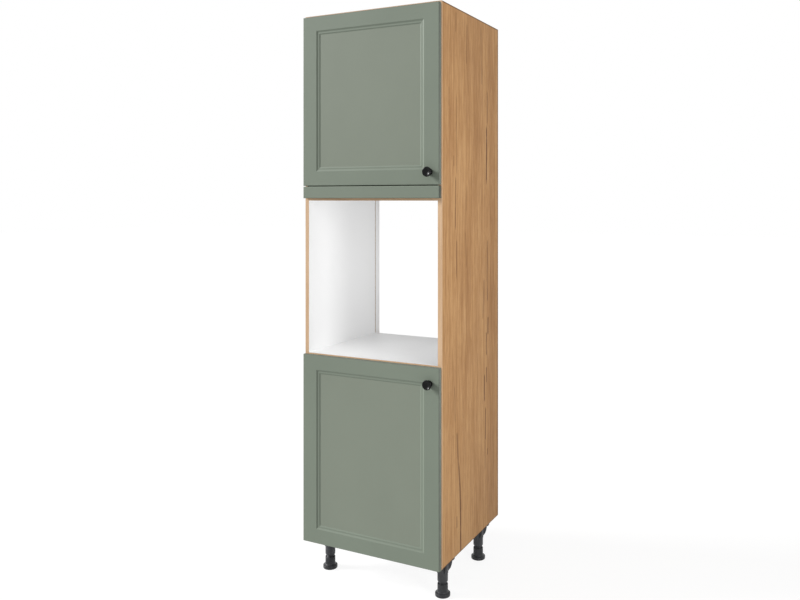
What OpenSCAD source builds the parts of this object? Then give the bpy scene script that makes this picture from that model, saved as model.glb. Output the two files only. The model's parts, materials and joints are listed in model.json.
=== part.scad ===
// Tall housing unit for a built-in oven: an oak-faced carcass on four screw feet, with an open
// oven niche between two framed doors and a narrow filler strip under the upper door.
// Frame: X to the right, Y into the unit, Z up. The origin is on the floor under the middle of
// the unit, halfway between the fronts of the knobs and the rear edges of the sides.

/* [Carcass] */
// Width over the two sides
carcass_w = 600; // [450:1:900]
// Depth of the sides, front edge to rear edge
carcass_d = 560; // [500:1:680]
// Height of the sides
carcass_h = 2072; // [1950:1:2500]
// Thickness of the carcass boards
board_t = 16; // [15:1:19]
// Thickness of the banding on the front edges
band_t = 0.8; // [0.4:0.1:2]
// Thickness of the back panels
back_t = 3; // [2.5:0.5:5]
// Distance from the rear edge of the sides to the rear wall of the groove for the back panels
back_inset = 35; // [28:1:60]
// Depth of that groove
groove_depth = 8; // [6:0.5:9]
// Play of a back panel in its groove
groove_play = 1; // [0.2:0.1:1.5]

/* [Oven niche] */
// Top of the niche floor above the underside of the carcass
niche_floor_top = 740; // [600:1:900]
// Clear height of the niche
niche_h = 603; // [450:1:720]

/* [Fronts] */
// Thickness of the doors and of the filler strip
door_t = 16; // [16:1:22]
// Gap between a front and the carcass behind it
door_gap = 2; // [1.8:0.1:3]
// How far each front stays inside the carcass's outer face
door_side_gap = 1.5; // [1:0.5:3]
// How far the lower door reaches below the carcass
door_drop = 2; // [0:1:4]
// Height of the floor's front edge left showing above the lower door
floor_reveal = 4; // [2:1:8]
// Height of the ceiling's front edge left showing under the filler strip
ceiling_reveal = 9; // [4:1:12]
// Height of the filler strip
strip_h = 46; // [40:1:90]
// Joint between the filler strip and the upper door
front_joint = 3; // [2:0.5:5]
// Height of the carcass left showing above the upper door
top_reveal = 7; // [2:1:12]
// Radius of the fronts' outer edges
edge_r = 2.5; // [1:0.5:4]

/* [Door frames] */
// Width of the flat stile at each side of a door
stile_w = 62; // [54:1:90]
// Width of the flat rail at the top and bottom of a door
rail_w = 56; // [45:1:90]
// Width of the outer slope of the moulding
outer_slope_w = 7; // [3:0.5:9]
// Drop of the outer slope
outer_slope_drop = 3; // [1:0.5:3.5]
// Width of the flat bead between the slopes
bead_w = 5; // [4:0.5:12]
// Width of the inner slope of the moulding
inner_slope_w = 5; // [3:0.5:9]
// Depth of the panel below the face of the frame
panel_recess = 5; // [4:0.5:7]

/* [Knobs] */
// Diameter of a knob's head
knob_d = 37; // [25:1:45]
// Projection of a knob from the door
knob_reach = 25; // [18:1:35]
// Diameter of a knob's base
knob_base_d = 26; // [16:1:30]
// Distance of a knob from the door's opening edge
knob_in = 40; // [26:1:60]
// Height of the upper knob above the bottom of its door
knob_up = 47; // [30:1:80]
// Distance of the lower knob below the top of its door
knob_down = 60; // [30:1:80]

/* [Hinges] */
// Distance of the hinges from the ends of a door
hinge_end = 96; // [80:1:160]
// Diameter of a hinge cup
cup_d = 35; // [34.5:0.1:35.5]
// Depth of a hinge cup in the door
cup_depth = 12.5; // [12:0.1:12.8]
// Distance of a cup's centre from the door's hinged edge
cup_in = 21.5; // [21:0.1:22.5]
// Distance of the plate screws behind the carcass's front plane
plate_back = 37; // [34:1:60]
// Spacing of the two plate screws
plate_pitch = 32; // [32:1:40]

/* [Shelves] */
// Gap between a shelf's end and the side
shelf_end_gap = 2; // [1.6:0.1:3]
// How far a shelf stays behind the carcass's front plane
shelf_setback = 20; // [5:1:60]
// Gap between a shelf and the back panel
shelf_back_gap = 4; // [2:1:20]
// Diameter of a shelf pin
shelf_pin_d = 5; // [4:0.5:6]
// Distance of the front row of pin holes behind the carcass's front plane
pin_front = 50; // [37:1:90]
// Distance of the rear row of pin holes in front of the back panel
pin_rear = 50; // [37:1:90]
// Vertical pitch of the pin holes
pin_pitch = 32; // [25:1:64]

/* [Legs] */
// Height of the legs
leg_h = 150; // [130:1:180]
// Diameter of a leg's tube
leg_d = 40; // [36:1:44]
// Diameter of a foot's rim
foot_d = 58; // [50:1:70]
// Top of the foot's sleeve above the floor
sleeve_top = 46; // [34:1:50]
// Height of the neck left showing between the sleeve and the tube
neck_h = 10; // [6:1:16]
// Diameter of the foot's stem
stem_d = 30; // [28:0.5:33]
// Distance of the legs from the outer faces of the sides
leg_in = 47; // [47:1:80]
// Distance of the legs from the front plane and from the rear edge of the carcass
leg_back = 107; // [95:1:140]

/* [Hidden] */
$fn = 64;
fit = 0.05; // radial clearance of what seats in a bore
slack = 0.3; // clearance of what moves past another piece
over = 1; // how far a cut runs past a face

sage = [0.525, 0.557, 0.506];
oak = [0.72, 0.57, 0.42];
pale_oak = [0.80, 0.69, 0.57];
white = [0.94, 0.94, 0.93];
black = [0.09, 0.09, 0.1];
plastic = [0.25, 0.25, 0.26];
steel = [0.75, 0.76, 0.78];
beech = [0.85, 0.72, 0.52];

// Planes of the carcass
front_reach = door_gap + door_t + knob_reach; // front plane to the knobs' fronts
front_y = -(carcass_d - front_reach) / 2;
rear_y = front_y + carcass_d;
side_x = carcass_w / 2 - board_t; // inner face of a side
inner_w = 2 * side_x;
base_z = leg_h; // underside of the carcass
groove_w = back_t + groove_play;
back_y = rear_y - back_inset - groove_w; // front face of the back panels, rear of the boards
inner_d = back_y - front_y;

// Horizontal boards: underside heights, and the face that its cam locks are let into (-1 lower, 1 upper)
floor_z = base_z + niche_floor_top - board_t;
ceiling_z = base_z + niche_floor_top + niche_h;
top_z = base_z + carcass_h - board_t;
board_levels = [[base_z, -1], [floor_z, -1], [ceiling_z, 1], [top_z, 1]];

// Fronts
door_w = carcass_w - 2 * door_side_gap;
door_y = front_y - door_gap - door_t; // front face of the fronts
lower_door_z = base_z - door_drop;
lower_door_h = niche_floor_top - floor_reveal + door_drop;
strip_z = ceiling_z + ceiling_reveal;
upper_door_z = strip_z + strip_h + front_joint;
upper_door_h = base_z + carcass_h - top_reveal - upper_door_z;
lower_hinges = [lower_door_z + hinge_end, lower_door_z + lower_door_h - hinge_end];
upper_hinges = [upper_door_z + hinge_end, upper_door_z + upper_door_h - hinge_end];
all_hinges = concat(lower_hinges, upper_hinges);
slope_straight = 0.6; // share of a straight line in a moulding's slopes
knob_x = door_w / 2 - knob_in;
lower_knob_z = lower_door_z + lower_door_h - knob_down;
upper_knob_z = upper_door_z + knob_up;

// Knobs
knob_neck_r = 0.28 * knob_d;
knob_cap_t = 7; // thickness of the head at its rounded rim
knob_dish = 3; // depth of the dished face
knob_lip_r = 1.2; // width of the rim's crest between its rounding and the dish
knob_lip_drop = 0.3; // fall of that crest
knob_foot_t = 3; // thickness of the base plate
knob_chamfer = 0.5; // on the base plate's edges
knob_screw_r = 2;
knob_screw_grip = 10; // length of the screw in the knob

// Hinge mechanism, in from the door's hinged edge (in) and back from its front face (deep)
carcass_deep = door_t + door_gap; // the carcass's front plane
side_in = board_t - door_side_gap; // inner face of the side
cup_wall = 0.8;
cup_floor = 0.5;
flange_t = 1.2;
flange_r = cup_d / 2 + 1.5;
flange_notch = cup_d / 2 - 5; // the flange is cut away on the arm's side from here
ear_w = 13;
ear_pitch = 48;
ear_in = cup_in + 6;
link_pin = [8, door_t - 8]; // the link's pin in the cup
link_elbow = [16.7, door_t - 10.4];
arm_pin = [30.5, door_t - 1.5]; // the link's pin in the arm's nose
link_pin_r = 1.3;
arm_pin_r = 1.7;
link_t = 2.3;
link_w = 8;
link_boss_r = 2.4;
link_play = 1.4; // play of the link's open eye round the arm's pin
link_eye_r = arm_pin_r + link_play + 1.3;
lug_gap = link_w / 2 + 0.6; // from the hinge's mid-plane to the lugs that hold the link's pin
lug_t = 3.8;
lug_short = 4; // how far the lugs stop short of the cup's mouth
lug_past_pin = 1.7; // how far the lugs reach past the link's pin
lug_pin_seat = 0.5; // how far the ends of the link's pin stay inside the lugs
cheek_gap = link_w / 2 + 0.8; // from the hinge's mid-plane to an arm's cheek
cheek_t = 2;
arm_web_t = 1.5;
arm_nose_r = 3.4;
arm_back = plate_back + 25; // end of the arm behind the front plane
arm_bend = 14; // bend of the arm behind the front plane
plate_t = 2;
mount_rail_h = 9; // height of the mounting plate's rail off the side
mount_rail_l = 40;
mount_rail_off = 2; // how far the rail's middle lies behind the plate's screws
mount_rail_w = 2 * (cheek_gap - slack);
plate_w = 18;
plate_h = plate_pitch + 18;
arm_screw_r = 2;
arm_screw_head_r = 3.5;
arm_screw_head_t = 2;
arm_screw_offsets = [-9, 13]; // of an arm's two screws from the plate's screws
euro_r = 2.5;
euro_l = 11;
euro_head_r = 4;
euro_head_t = 2;

// Small screws
screw_r = 2;
screw_head_r = 3.5;
screw_head_t = 1.5;
screw_grip = 12;

// Joints between boards
cam_r = 7.5;
cam_depth = 12.5;
cam_in = 34; // from a board's end to its cam
cam_cross_l = 1.4 * cam_r; // the cross in a cam's face
cam_cross_w = 1.4;
cam_cross_deep = 1.5;
bolt_r = 3;
bolt_thread_r = 2.5;
bolt_thread_l = 11;
bolt_neck_r = 2;
bolt_neck_l = 4;
bolt_head_l = 3;
dowel_r = 4;
dowel_l = 30;
dowel_in_side = 10;
bolt_front = 45; // behind the front plane
bolt_rear = 21; // in front of the back panels
dowel_front = 160;
dowel_rear = 121;
bolt_ys = [front_y + bolt_front, back_y - bolt_rear];
dowel_ys = [front_y + dowel_front, back_y - dowel_rear];

// Shelves and their pins
pin_hole_depth = 10;
pin_collar_r = 4;
pin_collar_t = 1.5;
pin_reach = 8;
pin_ys = [front_y + pin_front, back_y - pin_rear];
lower_pin_z = (base_z + floor_z) / 2;
upper_pin_z = (ceiling_z + board_t + top_z) / 2;
pin_levels = [lower_pin_z, upper_pin_z];
shelf_w = inner_w - 2 * shelf_end_gap;
shelf_d = inner_d - shelf_setback - shelf_back_gap;

// Back panels
back_w = inner_w + 2 * (groove_depth - groove_play);
back_margin = 1; // a back panel stays this far inside the outer face of its boards
back_screw_count = 4;
back_screw_r = 1.5;
back_screw_l = 16;
back_screw_head_t = 1;

// Brackets
bracket_t = 2;
strip_bracket_w = 20;
strip_bracket_leg = 30;
strip_bracket_x = carcass_w / 3;
wall_bracket_leg = 30;
wall_bracket_arm = 40;
wall_bracket_h = 40;
wall_bracket_down = 20; // below the top of the carcass
wall_hole_r = 4;
wall_hole_in = 22; // from the side's inner face

// Legs
leg_xs = [-(carcass_w / 2 - leg_in), carcass_w / 2 - leg_in];
leg_ys = [front_y + leg_back, rear_y - leg_back];
leg_plate_r = leg_d / 2 + 19;
leg_plate_t = 4;
leg_tongue_w = 16; // tongue of the plate that reaches under the side board
leg_tongue_t = 6;
leg_tongue_l = leg_in - 0.5; // from the leg's middle to the tongue's end
collar_wall = 1.5;
collar_bore_r = leg_d / 2 + fit;
collar_r = collar_bore_r + collar_wall;
collar_drop = 62; // from the top of the leg to the collar's end
collar_bite = 0.3; // how far a fin reaches into the collar's wall
plate_bite = 0.5; // how far a fin reaches into the plate
fin_t = 3;
fin_turns = [45:90:315];
// A fin's outer edge as [distance past the tube, height below the top of the leg], which flares up
fin_edge = [[18.7, leg_plate_t - plate_bite], [18.5, 26], [16, 38], [11.5, 50], [collar_bite, collar_drop]];
tube_z = sleeve_top + neck_h;
tube_top = leg_h - leg_plate_t; // underside of the socket's plate
tube_cap_t = 2; // thickness of the tube's closed top
stem_bore_r = stem_d / 2 + slack;
stem_top = tube_z + 54; // the stem's upper end, 54 mm inside the tube
stem_chamfer = 1;
rim_h = 13;
rim_r = foot_d / 2;
rim_round = 2;
rim_blend_top = 17.5; // where the rim's blend meets the sleeve
leg_screw_pcd = leg_d + 26;
leg_screw_turns = [65, 115, 245, 295];
cup_rim_w = 1.8; // wall of the cup at the top of a foot's sleeve
cup_deep = 12; // depth of that cup round the stem

// Bumpers
bumper_r = 4;
bumper_t = door_gap - slack;
bumper_end = 20;

// Builders' helpers -------------------------------------------------------------------------

// A 2D profile of [width, depth] carried up by h
module carried_up(h) linear_extrude(h) children();

// A 2D profile of [height, depth] carried along X by w
module carried_across(w) rotate([90, 0, 90]) linear_extrude(w) mirror([1, -1]) children();

// A straight bar of thickness t between two 2D points
module bar(a, b, t) {
    d = b - a;
    translate(a) rotate(atan2(d[1], d[0])) translate([0, -t / 2]) square([norm(d), t]);
}

// A cylinder along +Y that starts at the origin
module along_y(r, l) rotate([-90, 0, 0]) cylinder(r = r, h = l);

// A cylinder along +X that starts at the origin
module along_x(r, l) rotate([0, 90, 0]) cylinder(r = r, h = l);

// Children drawn at the left end, then mirrored at the right end
module both_sides() {
    children();
    mirror([1, 0, 0]) children();
}

// Pan-headed screw along +Z, its head under z = 0
module pan_screw(r = screw_r, head_r = screw_head_r, head_t = screw_head_t, l = screw_grip) {
    translate([0, 0, -head_t]) cylinder(r = head_r, h = head_t);
    cylinder(r = r, h = l);
}

// Carcass -------------------------------------------------------------------------------------

// The screw places of a wall bracket, as heights
function wall_bracket_z() = base_z + carcass_h - wall_bracket_down - wall_bracket_h;
function wall_screw_zs() = [for (f = [1, 3]) wall_bracket_z() + wall_bracket_h * f / 4];
wall_screw_y = rear_y - wall_bracket_leg * 0.6;

// Everything that is bored or milled into a side, drawn for the left one
module side_cuts() {
    // groove for the back panels
    translate([-side_x - groove_depth, back_y, base_z - over])
        cube([groove_depth + over, groove_w, carcass_h + 2 * over]);
    for (level = board_levels) {
        for (y = bolt_ys) translate([-side_x - bolt_thread_l, y, level[0] + board_t / 2])
            along_x(bolt_thread_r + fit, bolt_thread_l + over);
        for (y = dowel_ys) translate([-side_x - dowel_in_side, y, level[0] + board_t / 2])
            along_x(dowel_r + fit, dowel_in_side + over);
    }
    for (z = pin_levels, step = [-1:1], y = pin_ys)
        translate([-side_x - pin_hole_depth, y, z + step * pin_pitch])
            along_x(shelf_pin_d / 2 + fit, pin_hole_depth + over);
    for (z = wall_screw_zs()) translate([-side_x - screw_grip, wall_screw_y, z])
        along_x(screw_r + fit, screw_grip + over);
}

module side_board() {
    difference() {
        translate([-carcass_w / 2, front_y + band_t, base_z])
            cube([board_t, carcass_d - band_t, carcass_h]);
        side_cuts();
    }
}

module side_left() color(oak) {
    difference() {
        side_board();
        for (z = all_hinges, s = [-1, 1])
            translate([-side_x - euro_l, front_y + plate_back, z + s * plate_pitch / 2])
                along_x(euro_r + fit, euro_l + over);
    }
}

module side_right() color(oak) mirror([1, 0, 0]) side_board();

// A board between the sides, with its bores for bolts, dowels, cam locks and back screws
module cross_board(level, back_z) {
    z = level[0];
    difference() {
        translate([-side_x, front_y + band_t, z]) cube([inner_w, inner_d - band_t, board_t]);
        both_sides() {
            for (y = bolt_ys) {
                translate([-side_x - over, y, z + board_t / 2])
                    along_x(bolt_r + 2 * fit, cam_in + over);
                cam_place(y, level) cylinder(r = cam_r + fit, h = cam_depth + over);
            }
            for (y = dowel_ys) translate([-side_x - over, y, z + board_t / 2])
                along_x(dowel_r + fit, dowel_l - dowel_in_side + over + fit);
        }
        for (x = back_screw_xs()) translate([x, back_y - back_screw_l, back_z])
            along_y(back_screw_r + fit, back_screw_l + over);
    }
}

// Places a child along +Z from the bottom of a cam's bore out through its mouth, at the left end
module cam_place(y, level) {
    up = level[1] > 0;
    translate([-side_x + cam_in, y, level[0] + (up ? board_t - cam_depth : cam_depth)])
        rotate([up ? 0 : 180, 0, 0]) children();
}

function back_screw_xs() =
    [for (i = [0:back_screw_count - 1]) inner_w * 0.9 * (i / (back_screw_count - 1) - 0.5)];

// The heights at which the back panels are screwed to the boards
back_screw_zs = [for (level = board_levels) level[0] + board_t / 2];

module bottom_panel() color(white) difference() {
    cross_board(board_levels[0], back_screw_zs[0]);
    leg_screw_places() cylinder(r = screw_r + fit, h = screw_grip + fit);
}

module niche_floor() color(white) cross_board(board_levels[1], back_screw_zs[1]);

module niche_ceiling() color(white) difference() {
    cross_board(board_levels[2], back_screw_zs[2]);
    for (x = [-strip_bracket_x, strip_bracket_x])
        translate([x, front_y + strip_bracket_leg / 2, ceiling_z + board_t - screw_grip])
            cylinder(r = screw_r + fit, h = screw_grip + over);
}

module top_panel() color(white) cross_board(board_levels[3], back_screw_zs[3]);

// Banding on the front edges of the two sides and the four boards, six separate strips
module front_edge_bands() color(pale_oak) {
    both_sides() translate([-carcass_w / 2, front_y, base_z]) cube([board_t, band_t, carcass_h]);
    for (level = board_levels) translate([-side_x + fit, front_y, level[0]])
        cube([inner_w - 2 * fit, band_t, board_t]);
}

module back_panel(z0, z1, screw_zs) {
    difference() {
        translate([-back_w / 2, back_y, z0]) cube([back_w, back_t, z1 - z0]);
        for (x = back_screw_xs(), z = screw_zs)
            translate([x, back_y - over, z]) along_y(back_screw_r + fit, back_t + 2 * over);
    }
}

module back_panel_lower() color(white)
    back_panel(base_z + back_margin, floor_z + board_t - back_margin, [back_screw_zs[0], back_screw_zs[1]]);

module back_panel_upper() color(white)
    back_panel(ceiling_z + back_margin, top_z + board_t - back_margin, [back_screw_zs[2], back_screw_zs[3]]);

module back_panel_screws() color(steel)
    for (x = back_screw_xs(), z = back_screw_zs) translate([x, back_y + back_t, z]) rotate([90, 0, 0])
        pan_screw(back_screw_r, 2 * back_screw_r, back_screw_head_t, back_screw_l);

// Shelves --------------------------------------------------------------------------------------

module shelf(pin_z) translate([-shelf_w / 2, front_y + shelf_setback, pin_z + shelf_pin_d / 2])
    cube([shelf_w, shelf_d, board_t]);

module shelf_lower() color(white) shelf(lower_pin_z);

module shelf_upper() color(white) shelf(upper_pin_z);

module shelf_pins() color(steel)
    both_sides() for (z = pin_levels, y = pin_ys) translate([-side_x, y, z]) {
        translate([-pin_hole_depth + fit, 0, 0]) along_x(shelf_pin_d / 2, pin_hole_depth + pin_reach - fit);
        along_x(pin_collar_r, pin_collar_t);
    }

// Joints between the boards ----------------------------------------------------------------------

module cam_bolts() color(steel)
    both_sides() for (level = board_levels, y = bolt_ys)
        translate([-side_x, y, level[0] + board_t / 2]) {
            shank = cam_in - cam_r + 1;
            translate([-bolt_thread_l + fit, 0, 0]) along_x(bolt_thread_r, bolt_thread_l);
            along_x(bolt_r, shank);
            along_x(bolt_neck_r, shank + bolt_neck_l);
            translate([shank + bolt_neck_l - fit, 0, 0]) along_x(bolt_r, bolt_head_l);
        }

// A cam lock is a drum with a slot round the bolt's head and a cross in its face
module cam_locks() color(steel)
    both_sides() for (level = board_levels, y = bolt_ys) difference() {
        cam_place(y, level) cylinder(r = cam_r, h = cam_depth);
        translate([-side_x, y, level[0] + board_t / 2]) along_x(bolt_r + slack, cam_in + bolt_r);
        cam_place(y, level) for (turn = [0, 90]) rotate([0, 0, turn])
            translate([-cam_cross_l / 2, -cam_cross_w / 2, cam_depth - cam_cross_deep])
                cube([cam_cross_l, cam_cross_w, cam_cross_deep + over]);
    }

module dowels() color(beech)
    both_sides() for (level = board_levels, y = dowel_ys)
        translate([-side_x - dowel_in_side + fit, y, level[0] + board_t / 2])
            along_x(dowel_r, dowel_l - fit);

// Fronts ---------------------------------------------------------------------------------------

// The outline of a front across its width, its two front corners rounded
module rounded_front(w) {
    translate([edge_r, 0]) square([w - 2 * edge_r, door_t]);
    translate([0, edge_r]) square([w, door_t - edge_r]);
    for (x = [edge_r, w - edge_r]) translate([x, edge_r]) circle(edge_r);
}

// A slab with its four front edges rounded, its front face at y = 0
module front_slab(w, h) intersection() {
    carried_up(h) rounded_front(w);
    carried_across(w) rounded_front(h);
}

// Points of a slope from [x0, d0], w wide and drop deep, a little softened at both ends
function slope(x0, d0, w, drop, n = 6) = [for (i = [0:n]) let (t = i / n)
    [x0 + w * t, d0 + drop * (slope_straight * t + (1 - slope_straight) * t * t * (3 - 2 * t))]];

// Half of the recess's outline: the frame's width, the outer slope, the bead, the inner slope
function recess_half(frame) = concat(
    [[frame, -over]],
    slope(frame, 0, outer_slope_w, outer_slope_drop),
    slope(frame + outer_slope_w + bead_w, outer_slope_drop, inner_slope_w, panel_recess - outer_slope_drop)
);

module recess_outline(w, frame) {
    half = recess_half(frame);
    n = len(half);
    polygon(concat(half, [for (i = [n - 1:-1:0]) [w - half[i][0], half[i][1]]]));
}

// The sunk panel and its moulding, mitred at the corners where the two outlines cross
module panel_sink(w, h) intersection() {
    carried_up(h) recess_outline(w, stile_w);
    carried_across(w) recess_outline(h, rail_w);
}

// A framed door, drilled for its hinge cups and its knob
module door(z0, h, hinges, knob_z) difference() {
    translate([-door_w / 2, door_y, z0]) difference() {
        front_slab(door_w, h);
        panel_sink(door_w, h);
    }
    for (z = hinges) hinge_place(z) {
        translate([cup_in, door_t - cup_depth, 0]) along_y(cup_d / 2, cup_depth + over);
        for (s = [-1, 1]) translate([ear_in, door_t - screw_grip + flange_t, s * ear_pitch / 2])
            along_y(screw_r + fit, screw_grip + over);
    }
    translate([knob_x, door_y - over, knob_z]) along_y(knob_screw_r + fit, door_t + 2 * over);
}

module door_lower() color(sage) door(lower_door_z, lower_door_h, lower_hinges, lower_knob_z);

module door_upper() color(sage) door(upper_door_z, upper_door_h, upper_hinges, upper_knob_z);

module filler_strip() color(sage) difference() {
    translate([-door_w / 2, door_y, strip_z]) front_slab(door_w, strip_h);
    for (x = [-strip_bracket_x, strip_bracket_x])
        translate([x, front_y - door_gap - screw_grip, ceiling_z + board_t + strip_bracket_leg / 2])
            along_y(screw_r + fit, screw_grip + over);
}

// An angle bracket that carries the strip on the niche ceiling
module strip_bracket() difference() {
    union() {
        translate([-strip_bracket_w / 2, front_y - door_gap, ceiling_z + board_t])
            cube([strip_bracket_w, door_gap, strip_bracket_leg]);
        translate([-strip_bracket_w / 2, front_y - door_gap, ceiling_z + board_t])
            cube([strip_bracket_w, door_gap + strip_bracket_leg, bracket_t]);
    }
    translate([0, front_y + strip_bracket_leg / 2, ceiling_z + board_t - over])
        cylinder(r = screw_r + fit, h = bracket_t + 2 * over);
    translate([0, front_y - door_gap - over, ceiling_z + board_t + strip_bracket_leg / 2])
        along_y(screw_r + fit, door_gap + 2 * over);
}

module strip_brackets() color(steel)
    for (x = [-strip_bracket_x, strip_bracket_x]) translate([x, 0, 0]) strip_bracket();

module strip_screws() color(steel) for (x = [-strip_bracket_x, strip_bracket_x]) {
    translate([x, front_y + strip_bracket_leg / 2, ceiling_z + board_t + bracket_t]) rotate([180, 0, 0])
        pan_screw(l = screw_grip + bracket_t - fit);
    translate([x, front_y, ceiling_z + board_t + strip_bracket_leg / 2]) rotate([90, 0, 0])
        pan_screw(l = screw_grip + door_gap - fit);
}

// Knobs -----------------------------------------------------------------------------------------

// The knob's outline as [radius, height off the door]: base plate, waist, flared head, rounded rim
// and dished face
function knob_outline() = let (
    base_r = knob_base_d / 2,
    head_r = knob_d / 2,
    round_r = knob_cap_t / 2,
    under = knob_reach - knob_cap_t,
    crest_r = head_r - round_r,
    waist = [for (i = [0:12]) let (t = i / 12)
        [knob_neck_r + (base_r - knob_neck_r) * pow(1 - t, 2.4) + (crest_r - knob_neck_r) * pow(t, 2.6),
            knob_foot_t + (under - knob_foot_t) * t]],
    rim = [for (i = [1:10]) let (a = -90 + 180 * i / 10)
        [crest_r + round_r * cos(a), under + round_r * (1 + sin(a))]],
    dish = [for (i = [1:8]) let (t = 1 - i / 8)
        [(crest_r - knob_lip_r) * t, knob_reach - knob_dish * (1 - t * t) - knob_lip_drop]]
) concat(
    [[0, 0], [base_r - knob_chamfer, 0], [base_r, knob_chamfer], [base_r, knob_foot_t - knob_chamfer]],
    waist, rim, [[crest_r - knob_lip_r, knob_reach - knob_lip_drop]], dish);

// A knob on the face of its door, tapped for its screw
module knob(z) translate([knob_x, door_y, z]) rotate([90, 0, 0]) difference() {
    rotate_extrude() polygon(knob_outline());
    translate([0, 0, -over]) cylinder(r = knob_screw_r + fit, h = over + knob_screw_grip + fit);
}

// The knob's screw, driven from behind the door
module knob_screw(z) translate([knob_x, door_y + door_t, z]) rotate([90, 0, 0])
    pan_screw(knob_screw_r, screw_head_r, screw_head_t, door_t + knob_screw_grip);

module knob_lower() color(black) knob(lower_knob_z);

module knob_upper() color(black) knob(upper_knob_z);

module knob_screw_lower() color(steel) knob_screw(lower_knob_z);

module knob_screw_upper() color(steel) knob_screw(upper_knob_z);

// Hinges ----------------------------------------------------------------------------------------

// The hinge's own frame: X in from the door's hinged edge, Y back from its front face, Z up
module hinge_place(z) translate([-door_w / 2, door_y, z]) children();

// Lugs inside the cup that hold the ends of the link's pin
module cup_lugs() intersection() {
    translate([cup_in, door_t - cup_depth + fit, 0]) along_y(cup_d / 2 - fit, cup_depth - lug_short);
    for (s = [-1, 1]) translate([0, 0, s * (lug_gap + lug_t / 2)])
        translate([0, 0, -lug_t / 2]) cube([link_pin[0] + link_pin_r + lug_past_pin, door_t, lug_t]);
}

// A cup pressed into the door, its flange cut away where the arm and the link swing out
module hinge_cup() difference() {
    union() {
        difference() {
            union() {
                translate([cup_in, door_t - cup_depth + fit, 0]) along_y(cup_d / 2 - fit, cup_depth - fit);
                difference() {
                    translate([cup_in, door_t, 0]) along_y(flange_r, flange_t);
                    translate([cup_in - 2 * flange_r - flange_notch, door_t - over, -flange_r])
                        cube([2 * flange_r, flange_t + 2 * over, 2 * flange_r]);
                }
                translate([ear_in - ear_w / 2, door_t, -ear_pitch / 2])
                    cube([ear_w, flange_t, ear_pitch]);
                for (s = [-1, 1]) translate([ear_in, door_t, s * ear_pitch / 2])
                    along_y(ear_w / 2, flange_t);
            }
            translate([cup_in, door_t - cup_depth + cup_floor, 0])
                along_y(cup_d / 2 - cup_wall, cup_depth + flange_t);
        }
        cup_lugs();
    }
    translate([link_pin[0], link_pin[1], -lug_gap - lug_t + lug_pin_seat - fit])
        cylinder(r = link_pin_r + fit, h = 2 * (lug_gap + lug_t - lug_pin_seat + fit));
    for (s = [-1, 1]) translate([ear_in, door_t - over, s * ear_pitch / 2])
        along_y(screw_r + fit, flange_t + 2 * over);
}

module hinge_cup_pin() translate([link_pin[0], link_pin[1], -lug_gap - lug_t + lug_pin_seat])
    cylinder(r = link_pin_r, h = 2 * (lug_gap + lug_t - lug_pin_seat));

module hinge_cup_screw_pair() for (s = [-1, 1])
    translate([ear_in, door_t + flange_t, s * ear_pitch / 2]) rotate([90, 0, 0])
        pan_screw(l = screw_grip - fit);

// The cranked link: a boss round the cup's pin, an elbow, and an eye with play round the arm's pin
module hinge_link(z) hinge_place(z) translate([0, 0, -link_w / 2]) linear_extrude(link_w) difference() {
    union() {
        bar(link_pin, link_elbow, link_t);
        bar(link_elbow, arm_pin, link_t);
        translate(link_elbow) circle(link_t / 2);
        translate(link_pin) circle(link_boss_r);
        translate(arm_pin) circle(link_eye_r);
    }
    translate(link_pin) circle(link_pin_r + fit);
    translate(arm_pin) circle(arm_pin_r + link_play);
}

arm_web_in = side_in + mount_rail_h; // inner face of an arm's web
arm_top_in = arm_web_in + arm_web_t;
arm_end_deep = carcass_deep + arm_back;
arm_bend_deep = carcass_deep + arm_bend;
arm_shoulder = [arm_pin[0] + arm_nose_r, arm_pin[1] + 9]; // 9 mm behind the pin
arm_foot_back = 2; // how far the cheek's lower bend lies behind the web's

// The outline of an arm's cheek: straight along the side, then cranked out to the nose
module cheek_outline() {
    low_in = side_in + plate_t + slack;
    polygon([
        [low_in, arm_end_deep], [arm_top_in, arm_end_deep], [arm_top_in, arm_bend_deep],
        arm_shoulder, [arm_pin[0] + arm_nose_r, arm_pin[1]],
        [arm_pin[0] - arm_nose_r, arm_pin[1]], [low_in, arm_bend_deep + arm_foot_back]
    ]);
    translate(arm_pin) circle(arm_nose_r);
}

// The outline of an arm's web, which joins the two cheeks behind the link's eye
module web_outline() polygon([
    [arm_web_in, arm_end_deep], [arm_top_in, arm_end_deep], [arm_top_in, arm_bend_deep],
    arm_shoulder, arm_shoulder - [arm_web_t, 0], [arm_web_in, arm_bend_deep]
]);

module hinge_arm() difference() {
    union() {
        for (z = [-cheek_gap - cheek_t, cheek_gap])
            translate([0, 0, z]) linear_extrude(cheek_t) cheek_outline();
        translate([0, 0, -cheek_gap - cheek_t]) linear_extrude(2 * (cheek_gap + cheek_t)) web_outline();
    }
    translate([arm_pin[0], arm_pin[1], -cheek_gap - cheek_t - over])
        cylinder(r = arm_pin_r + fit, h = 2 * (cheek_gap + cheek_t + over));
    for (offset_y = arm_screw_offsets)
        translate([arm_web_in - over, carcass_deep + plate_back + offset_y, 0])
            along_x(arm_screw_r + fit, arm_web_t + 2 * over);
}

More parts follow.
